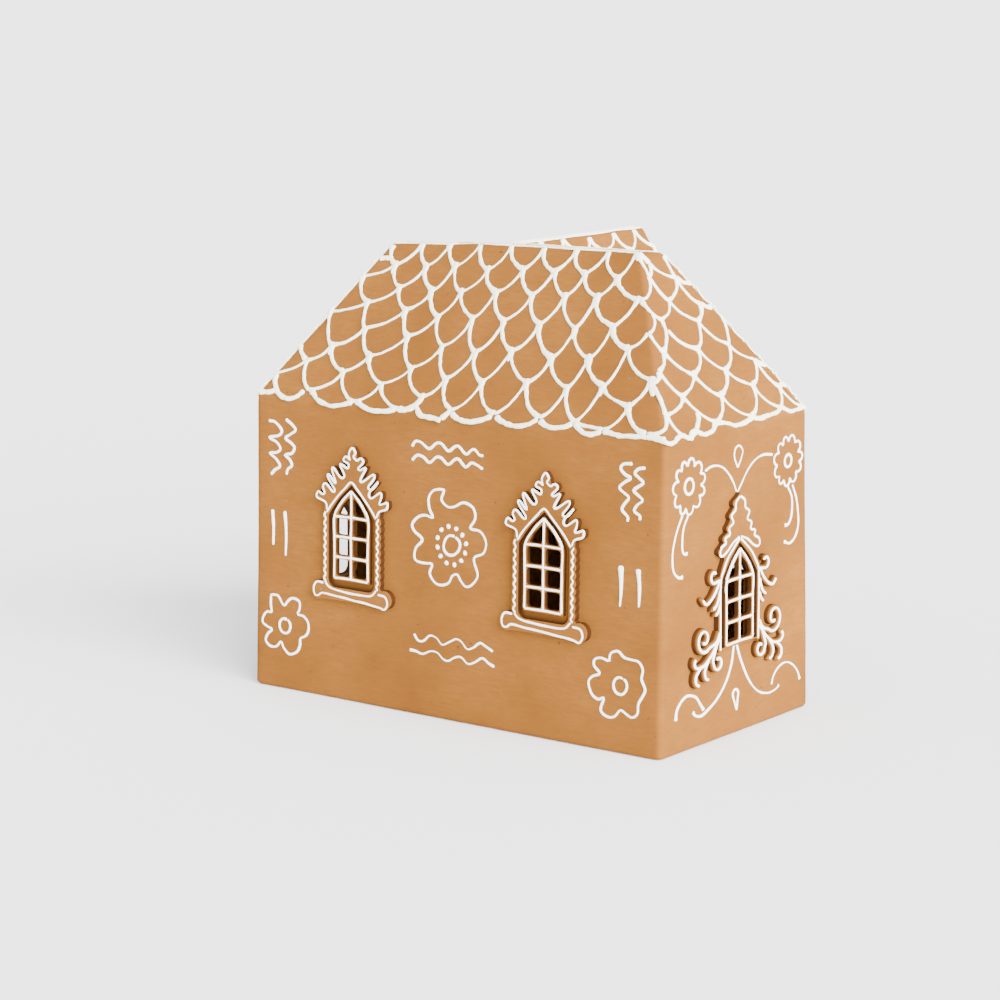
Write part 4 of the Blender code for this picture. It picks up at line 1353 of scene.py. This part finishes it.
@dataclass
class ScaleNet:
    """A net of fish scales piped on a slope.

    Knots stand in rows from the crest down, each row between the knots of the row above. From
    every knot two strands drop to the nearest knots of the next row: a strand starts straight down
    the slope and ends level, as a quarter of an ellipse does, eased a little towards a straight line.
    An edged net has its first and last knots on the slope's edges, and pipes along an edge only to
    reach a knot that nothing else reaches.
    """
    slope: Slope
    rows: list[list[tuple[float, float]]]
    width: float = 2.0
    reach: float = 24.0
    skip: tuple[tuple[tuple[float, float], tuple[float, float]], ...] = ()
    edged: bool = False

    @staticmethod
    def strand(top: tuple[float, float], foot: tuple[float, float], ease: float = 0.3) -> Array:
        """One strand between two knots."""
        turn = np.linspace(0, np.pi / 2, 7)
        straight = np.linspace(0, 1, 7)
        across = (1 - np.cos(turn)) * (1 - ease) + straight * ease
        down = np.sin(turn) * (1 - ease) + straight * ease
        return np.stack([top[0] + (foot[0] - top[0]) * across, top[1] + (foot[1] - top[1]) * down], 1)

    def pipe(self, lines: PipedLines) -> None:
        """Pipe every strand that crosses no other, those that drop to the left thinner, and fill some knots."""
        rng = np.random.default_rng(lines.seed)
        for order, (row, below) in enumerate(zip(self.rows, self.rows[1:])):
            places, reached, met, last = np.array(below), 0, set(), len(below) - 1
            for knot in row:
                if order and knot[1] > 8 and not (self.edged and knot in (row[0], row[-1])):
                    self.fill_knot(lines, knot, rng)
                gaps = places[:, 0] - knot[0]
                for way in (-1, 1):
                    near = np.where(gaps * way > 0.3, np.abs(gaps), np.inf)
                    pick = int(np.argmin(near))
                    along_edge = self.edged and (knot, pick) in ((row[0], 0), (row[-1], last))
                    skipped = along_edge or (knot, below[pick]) in self.skip
                    if near[pick] < self.reach and pick >= reached and not skipped:
                        reached = pick
                        met.add(pick)
                        self.pipe_strand(lines, knot, below[pick], rng, 0.66 if way < 0 else 0.84)
            for end, pick in ((0, 0), (-1, last)):
                if self.edged and pick not in met:
                    self.pipe_strand(lines, row[end], below[end], rng)

    def pipe_strand(self, lines: PipedLines, top: tuple[float, float], foot: tuple[float, float],
                    rng: np.random.Generator, share: float = 0.76) -> None:
        """Pipe one strand, its fatness taken at random about a share of the net's width."""
        path = self.strand(top, foot, rng.uniform(0.22, 0.42))
        lines.line(self.slope, path, self.width * share * rng.uniform(0.85, 1.15), per_span=3,
                   start_blob=rng.uniform(0.3, 1.3), end_blob=rng.uniform(0.3, 1.0), shake=0.25,
                   blob_length=rng.uniform(1.2, 2.4))

    def fill_knot(self, lines: PipedLines, knot: tuple[float, float], rng: np.random.Generator) -> None:
        """Run a knot full with a short fat line down through it; one knot in four stays lean."""
        lean, rise, drop, width = rng.uniform(size=4)
        if lean > 0.25:
            path = [(knot[0] - 0.2, knot[1] + 1.0 + 1.3 * rise), (knot[0] + 0.4, knot[1] - 3.0 - 3.2 * drop)]
            lines.line(self.slope, path, 3.0 + 1.9 * width, 0.75, taper=0.36, shake=0.2)

    @classmethod
    def regular(cls, slope: Slope, seed: int, shares: tuple[float, ...], pitch: float = 20.0) -> "ScaleNet":
        """A net worked out for a slope: knots a scale apart, odd rows half a scale over, and on both edges.

        Args:
            slope: Slope to fill.
            seed: Seed of the small irregularities.
            shares: Height of each row as a share of the slope, from the crest down.
            pitch: Width of a scale.

        Returns:
            The net.
        """
        rng = np.random.default_rng(seed)
        rows = []
        for k, share in enumerate(shares):
            rail = slope.rails(np.array([share]))[0]
            left, right = sorted((float(rail[0]), float(rail[-1])))
            count = int((right - left) / pitch) + 2
            inner = (np.arange(-count, count + 1) + 0.5 * (k % 2)) * pitch
            inner = inner + rng.uniform(-0.07, 0.07, len(inner)) * pitch
            inner = inner[(inner > left + 0.36 * pitch) & (inner < right - 0.36 * pitch)]
            drop = rng.uniform(-0.012, 0.012, len(inner) + 2)
            drop[[0, -1]] = 0.0
            across = np.concatenate([[left], inner, [right]])
            rows.append([(float(u), float((share + d) * slope.length)) for u, d in zip(across, drop)])
        return cls(slope, rows, edged=True)


ROW_SHARES = (0.985, 0.885, 0.78, 0.665, 0.55, 0.44, 0.33, 0.24, 0.15, 0.075, 0.01)

FRONT_KNOTS = [
    [(-77.5, 90), (-59.5, 91), (-43, 91), (-24.5, 91), (-6, 91), (13, 91), (31.5, 91), (49.5, 91), (65, 91)],
    [(-70.5, 78.5), (-51.5, 78.5), (-34, 79), (-14, 77.5), (6, 79), (24, 79), (41.5, 79), (60, 78)],
    [(-87.5, 71), (-62, 66), (-41.5, 65), (-24, 65), (-4, 66), (17, 66), (35.5, 66.5), (53, 67.5), (75.5, 68)],
    [(-77, 56.5), (-52, 53.5), (-31.5, 51), (-11, 51.5), (7.5, 51.5), (28, 51.5), (48.5, 51), (68, 53.3), (88, 51.5)],
    [(-97, 50), (-71.5, 42), (-44, 39.5), (-21.5, 35.5), (-1.5, 34), (18.5, 36.5), (42, 35), (62, 36.5), (81, 43)],
    [(-86.5, 31), (-61.5, 27), (-34, 23), (-11.5, 19), (9.5, 19.5), (34, 21.5), (57, 21), (75.5, 23.5), (99.5, 28.5)],
    [(-98, 21.5), (-73, 17.5), (-47.5, 13), (-20.5, 8.5), (-1.5, 3.5), (23.5, 4), (48.5, 4.5), (68, 4.5), (93, 15)],
    [(-113, 13), (-88.5, 5.5), (-60, 1.8), (-31, 0.8), (84.5, 2.5), (107.5, 2.8)]]

RIGHT_LINKS = [
    ((-5.2, 88.1), (-7, 77.5)), ((-2.1, 84.1), (-7, 77.5)), ((-2.1, 84.1), (8.5, 76)), ((7.2, 87.6), (8.5, 76)),
    ((-7, 77.5), (-20.6, 66.2)), ((-7, 77.5), (-3.2, 65)), ((8.5, 76), (-3.2, 65)), ((8.5, 76), (16.9, 61)),
    ((-20.6, 66.2), (-14.5, 56.3)), ((-18.3, 59.2), (-28.3, 50.5)), ((-3.2, 65), (-14.5, 56.3)),
    ((-3.2, 65), (9.1, 53.1)), ((16.9, 61), (9.1, 53.1)), ((-28.3, 50.5), (-25.8, 40.9)),
    ((-14.5, 56.3), (-25.8, 40.9)), ((-14.5, 50.8), (-0.6, 39.7)), ((9.1, 53.1), (-0.6, 39.7)),
    ((9.1, 53.1), (22.7, 39.1)), ((28, 54.8), (22.7, 39.1)), ((-25.8, 40.9), (-36.3, 32)),
    ((-25.8, 40.9), (-13.5, 27.9)), ((-0.6, 39.7), (-13.5, 27.9)), ((-0.6, 39.7), (11.2, 27.2)),
    ((22.7, 39.1), (11.2, 27.2)), ((22.7, 39.1), (36.2, 29.5)), ((-36.3, 32), (-45, 27.1)),
    ((-36.3, 32), (-29.5, 19.2)), ((-13.5, 27.9), (-29.5, 19.2)), ((-13.5, 27.9), (-2, 15.6)),
    ((11.2, 27.2), (-2, 15.6)), ((11.2, 27.2), (25.3, 17.3)), ((36.2, 29.5), (25.3, 17.3)),
    ((-45, 27.1), (-48.3, 11.7)), ((-29.5, 19.2), (-48.3, 11.7)), ((-29.5, 19.2), (-15.2, 3.9)),
    ((-2, 15.6), (-15.2, 3.9)), ((-2, 15.6), (12.9, 2.9)), ((25.3, 17.3), (12.9, 2.9)), ((25.3, 17.3), (38, 4)),
    ((-48.3, 11.7), (-66.3, 2.1)), ((-48.3, 11.7), (-44, 1)), ((36.2, 29.5), (45, 14)), ((45, 14), (38, 4)),
    ((45, 14), (56, 2)), ((36.2, 29.5), (42.4, 26))]


@dataclass
class RoofPiping:
    """Scales on every slope, the scallops that hang over the eaves, and the lines along the crest."""
    house: House
    width: float = 2.0
    ragged: float = 0.07

    def front(self) -> PipedLines:
        """Pipe the front slope and the strands that cross its right hip."""
        lines, slope = PipedLines("front_roof_icing", 61, 1.0, 0.3, self.ragged, 0.12), self.house.slopes["front"]
        ScaleNet(slope, FRONT_KNOTS, self.width, skip=(((75.5, 68), (88, 51.5)),)).pipe(lines)
        extra = [
            [(-82.0, 82.0), (-74.0, 82.4)],
            [(-106.0, 29.6), (-103.2, 25.4), (-98.8, 21.8)],
            [(-112.4, 12.0), (-110.8, 7.4), (-106.6, 2.6), (-102.4, 0.0), (-98.6, -0.4), (-94.6, 0.8), (-91.0, 4.8)],
            [(-118.0, 1.6), (-112.4, 1.8), (-107.8, 3.4)],
            [(-87.0, 5.2), (-84.4, 3.4), (-80.2, 0.4), (-75.2, -1.0), (-69.8, -1.4), (-64.8, -0.2), (-59.6, 2.0)],
            [(-57.4, 2.6), (-52.2, 0.0), (-45.0, -1.5), (-38.2, -1.0), (-32.6, 0.6)],
            [(-31.4, 0.8), (-27.4, 0.9), (-22.2, 3.0), (-17.2, -0.8), (-10.2, -1.6), (-4.6, -2.2)],
            [(-20.6, 8.6), (-21.2, 5.2), (-23.2, 2.4), (-26.4, 1.0)],
            [(-1.6, 3.4), (-3.0, 0.8), (-5.2, -1.6)],
            [(-0.4, 2.0), (5.0, -0.8), (12.2, -1.3), (18.2, 0.4), (22.6, 2.8)],
            [(25.0, 3.0), (29.8, 0.4), (37.0, -0.7), (44.2, 0.8), (48.2, 3.6)],
            [(49.6, 3.4), (54.0, 0.9), (58.4, 0.5), (64.2, 1.6), (67.6, 3.6)],
            [(68.8, 3.8), (73.2, 0.6), (79.0, -0.6), (84.0, 1.6)],
            [(84.8, 1.9), (95.0, 0.6), (107.0, 1.4), (118.4, 0.8)],
]
        for path in extra:
            lines.line(slope, path, self.width * 1.1, start_blob=0.4, end_blob=0.4, shake=0.15)
        return lines

    def right(self) -> PipedLines:
        """Pipe the right slope and the strands that come over its left hip."""
        lines, slope = PipedLines("right_roof_icing", 67, 1.0, 0.3, self.ragged, 0.12), self.house.slopes["right"]
        net, rng = ScaleNet(slope, [], self.width), np.random.default_rng(67)
        for top, foot in RIGHT_LINKS:
            net.pipe_strand(lines, top, foot, rng)
        extra = [
            [(-5.2, 89.6), (-5.4, 86.0)], [(-3.4, 89.6), (-2.6, 86.6), (-2.1, 84.0)],
            [(8.5, 76.2), (12.0, 73.0), (16.4, 72.4)], [(16.9, 61.2), (20.0, 59.2), (23.6, 58.6)],
            [(-45.0, 27.4), (-47.2, 24.6), (-48.2, 21.0)],
            [(-25.2, 10.1), (-27.2, 6.5), (-33.4, 2.0), (-40.5, -0.9)],
            [(-66.3, 2.1), (-60.9, 1.7), (-57.1, -0.8), (-51.9, -0.7), (-48.0, 0.8), (-44.0, 1.0), (-40.5, -0.9),
             (-37.0, 1.6), (-33.4, 2.0), (-29.2, -0.4), (-22.4, -0.1), (-17.4, 2.6), (-15.2, 3.9)],
            [(-15.2, 3.8), (-8.5, 2.1), (-0.5, 0.1), (8.8, 1.3), (12.9, 2.9)],
            [(12.6, 2.6), (17.2, 0.9), (25.0, 1.4), (33.0, 1.9), (37.8, 3.8)],
            [(38.2, 3.8), (44.2, 0.9), (50.2, 0.8), (57.0, 1.8)],
            [(45.2, 13.8), (48.0, 14.6), (50.6, 13.6)]]
        for path in extra:
            lines.line(slope, path, self.width * 1.1, start_blob=0.4, end_blob=0.4, shake=0.15)
        return lines

    def regular(self, name: str, seed: int, pitch: float = 20.0) -> PipedLines:
        """Pipe a slope with a net worked out for it, and a line of scallops along its eave."""
        slope = self.house.slopes[name]
        lines = PipedLines(name + "_roof_icing", seed, 1.2, 0.3, self.ragged, 0.12)
        plain = Slope(slope.eave, slope.crest)
        net = ScaleNet.regular(plain, seed, ROW_SHARES, pitch)
        net.pipe(lines)
        last = net.rows[-1]
        for (u0, v0), (u1, v1) in zip(last, last[1:]):
            dip = min(v0, v1) - 2.2
            lines.line(plain, [(u0, v0), (u0 * 0.7 + u1 * 0.3, dip + 0.5), (u0 * 0.4 + u1 * 0.6, dip + 0.4), (u1, v1)],
                       self.width * 1.1, start_blob=0.4, end_blob=0.4)
        return lines

    def crest(self) -> PipedLines:
        """Pipe the two wavy lines along the crest and the two along the wing's ridge."""
        plan = self.house.plan
        lines = PipedLines("crest_icing", 97, 1.2, 0.3, self.ragged, 0.12)
        left, right, wing = plan.crest_ends[0], plan.crest_ends[1], plan.wing_centre
        low, middle, high = plan.crest_heights
        for k, (y, run) in enumerate(((-2.0, (left + 1.5, right - 1.0)), (4.9, (left + 2.5, right + 3.0)))):
            for first, last, z0, z1 in ((run[0], wing, low, middle), (wing, run[1], middle, high)):
                start = np.array([first, y, z0])
                top = Wall(start, unit(np.array([last, y, z1]) - start), np.array([0.0, 1.0, 0.0]))
                at = np.linspace(0, last - first, max(4, int((last - first) / 7)))
                sway = 0.7 * np.sin(at / 6.3 + k * 1.7 + (0 if first == run[0] else (wing - run[0]) / 6.3))
                lines.line(top, np.stack([at, sway], 1), self.width * 0.65, shake=0.2)
        for k, x in enumerate((wing - 1.9, wing + 1.9)):
            start = np.array([x, plan.crest_sides[1], middle])
            top = Wall(start, np.array([0.0, 1.0, 0.0]), np.array([-1.0, 0.0, 0.0]))
            at = np.linspace(0, plan.wing_reaches[2] - plan.crest_sides[1] - 1.2, 14)
            lines.line(top, np.stack([at, 0.5 * np.sin(at / 6.0 + k)], 1), self.width * 0.7, shake=0.2)
        return lines


# ---------------------------------------------------------------------------------------------
# Studio
# ---------------------------------------------------------------------------------------------

@dataclass
class Studio:
    """A pale floor under an even sky, a broad soft light from the right, and the camera."""
    azimuth: float = 37.33
    elevation: float = 10.58
    roll: float = -0.17
    lens: float = 108.0
    distance: float = 1.4458
    aim_right: float = -0.0130
    aim_up: float = 0.09355
    sky: float = 1.82
    side_light: float = 28.5

    def floor(self) -> bpy.types.Object:
        """A very large pale floor at the house's foot."""
        mesh = bpy.data.meshes.new("floor")
        size = 80.0
        z = float(CAD_LOW[2]) - 0.0001
        mesh.from_pydata([(-size, -size, z), (size, -size, z), (size, size, z), (-size, size, z)], [], [(0, 1, 2, 3)])
        item = bpy.data.objects.new("floor", mesh)
        bpy.context.scene.collection.objects.link(item)
        material = bpy.data.materials.new("pale_floor")
        material.use_nodes = True
        shader = material.node_tree.nodes["Principled BSDF"]
        shader.inputs["Base Color"].default_value = (0.86, 0.86, 0.86, 1.0)
        shader.inputs["Roughness"].default_value = 1.0
        shader.inputs["Specular IOR Level"].default_value = 0.0
        mesh.materials.append(material)
        item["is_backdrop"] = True
        return item

    def lights(self) -> None:
        """An even sky, and a wide sun lamp from the right."""
        world = bpy.data.worlds.new("even_sky")
        world.use_nodes = True
        background = world.node_tree.nodes["Background"]
        background.inputs["Color"].default_value = (1.0, 1.0, 1.0, 1.0)
        background.inputs["Strength"].default_value = self.sky
        bpy.context.scene.world = world
        lamp = bpy.data.lights.new("soft_side", "SUN")
        lamp.energy = self.side_light
        lamp.angle = math.radians(70)
        item = bpy.data.objects.new("soft_side", lamp)
        towards = Vector((-0.90, 0.335, -0.20))
        item.rotation_euler = towards.to_track_quat("-Z", "Y").to_euler()
        bpy.context.scene.collection.objects.link(item)

    def camera(self) -> None:
        """Set the camera: it looks at a point beside the main block's foot from its azimuth and elevation."""
        azimuth, elevation, roll = (math.radians(a) for a in (self.azimuth, self.elevation, self.roll))
        back = np.array([math.sin(azimuth) * math.cos(elevation), -math.cos(azimuth) * math.cos(elevation),
                         math.sin(elevation)])
        level = np.array([math.cos(azimuth), math.sin(azimuth), 0.0])
        upright = np.cross(back, level)
        right = level * math.cos(roll) + upright * math.sin(roll)
        up = -level * math.sin(roll) + upright * math.cos(roll)
        target = ORIGIN + right * self.aim_right + up * self.aim_up
        place = target + back * self.distance
        data = bpy.data.cameras.new("camera")
        data.lens = self.lens
        data.sensor_width = 36.0
        data.clip_end = 200.0
        item = bpy.data.objects.new("camera", data)
        turn = Matrix((right, up, back)).transposed().to_4x4()
        turn.translation = Vector(place)
        item.matrix_world = turn
        bpy.context.scene.collection.objects.link(item)
        bpy.context.scene.camera = item


# ---------------------------------------------------------------------------------------------
# The whole
# ---------------------------------------------------------------------------------------------

@dataclass
class WindowPlan:
    """Where the windows stand."""
    front_x: float = 56.4
    back_right_x: float = 79.0
    back_left_x: float = -90.5
    end_y: float = -2.5
    front_sill: float = 60.0
    end_sill: float = 44.0

    def windows(self, house: House) -> list[MouldedWindow]:
        """All seven windows."""
        sill = self.front_sill
        return [
            LancetWindow("front_left_window", house.front(-self.front_x, sill), 101),
            LancetWindow("front_right_window", house.front(self.front_x, sill), 103),
            LancetWindow("back_right_window", house.back(self.back_right_x, sill), 107),
            LancetWindow("back_left_window", house.back(self.back_left_x, sill), 109),
            LancetWindow("gable_window", house.gable(sill), 113),
            ScrollWindow("right_window", house.end(1, self.end_y, self.end_sill), 127),
            ScrollWindow("left_window", house.end(-1, self.end_y, self.end_sill), 131, grilled=False)]


def main() -> None:
    """Build the house, dress it, and set the studio."""
    logging.basicConfig(level=logging.INFO, format="%(message)s")
    house, places = House(), WindowPlan()
    dresser = Dresser(ClayFinish().build(), SlipFinish().build())
    windows = places.windows(house)
    shell = dresser.dress(ClayShell(house).build([window.opening() for window in windows]), Slot.CLAY)
    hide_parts("house")
    for window in windows:
        window.build_clay(dresser)
        window.build_icing(dresser)
    walls = WallPiping(house)
    walls.front_wall().finish(dresser)
    for side in (1, -1):
        walls.end_wall(side, places.end_y).finish(dresser)
    walls.back_walls(places.back_left_x, places.back_right_x).finish(dresser)
    roof = RoofPiping(house)
    roof.front().finish(dresser)
    roof.right().finish(dresser)
    for k, name in enumerate(("left", "back_left", "back_right", "wing_left", "wing_right")):
        roof.regular(name, 71 + k).finish(dresser)
    roof.crest().finish(dresser)
    studio = Studio()
    studio.floor()
    studio.lights()
    studio.camera()


if __name__ == "__main__":
    main()
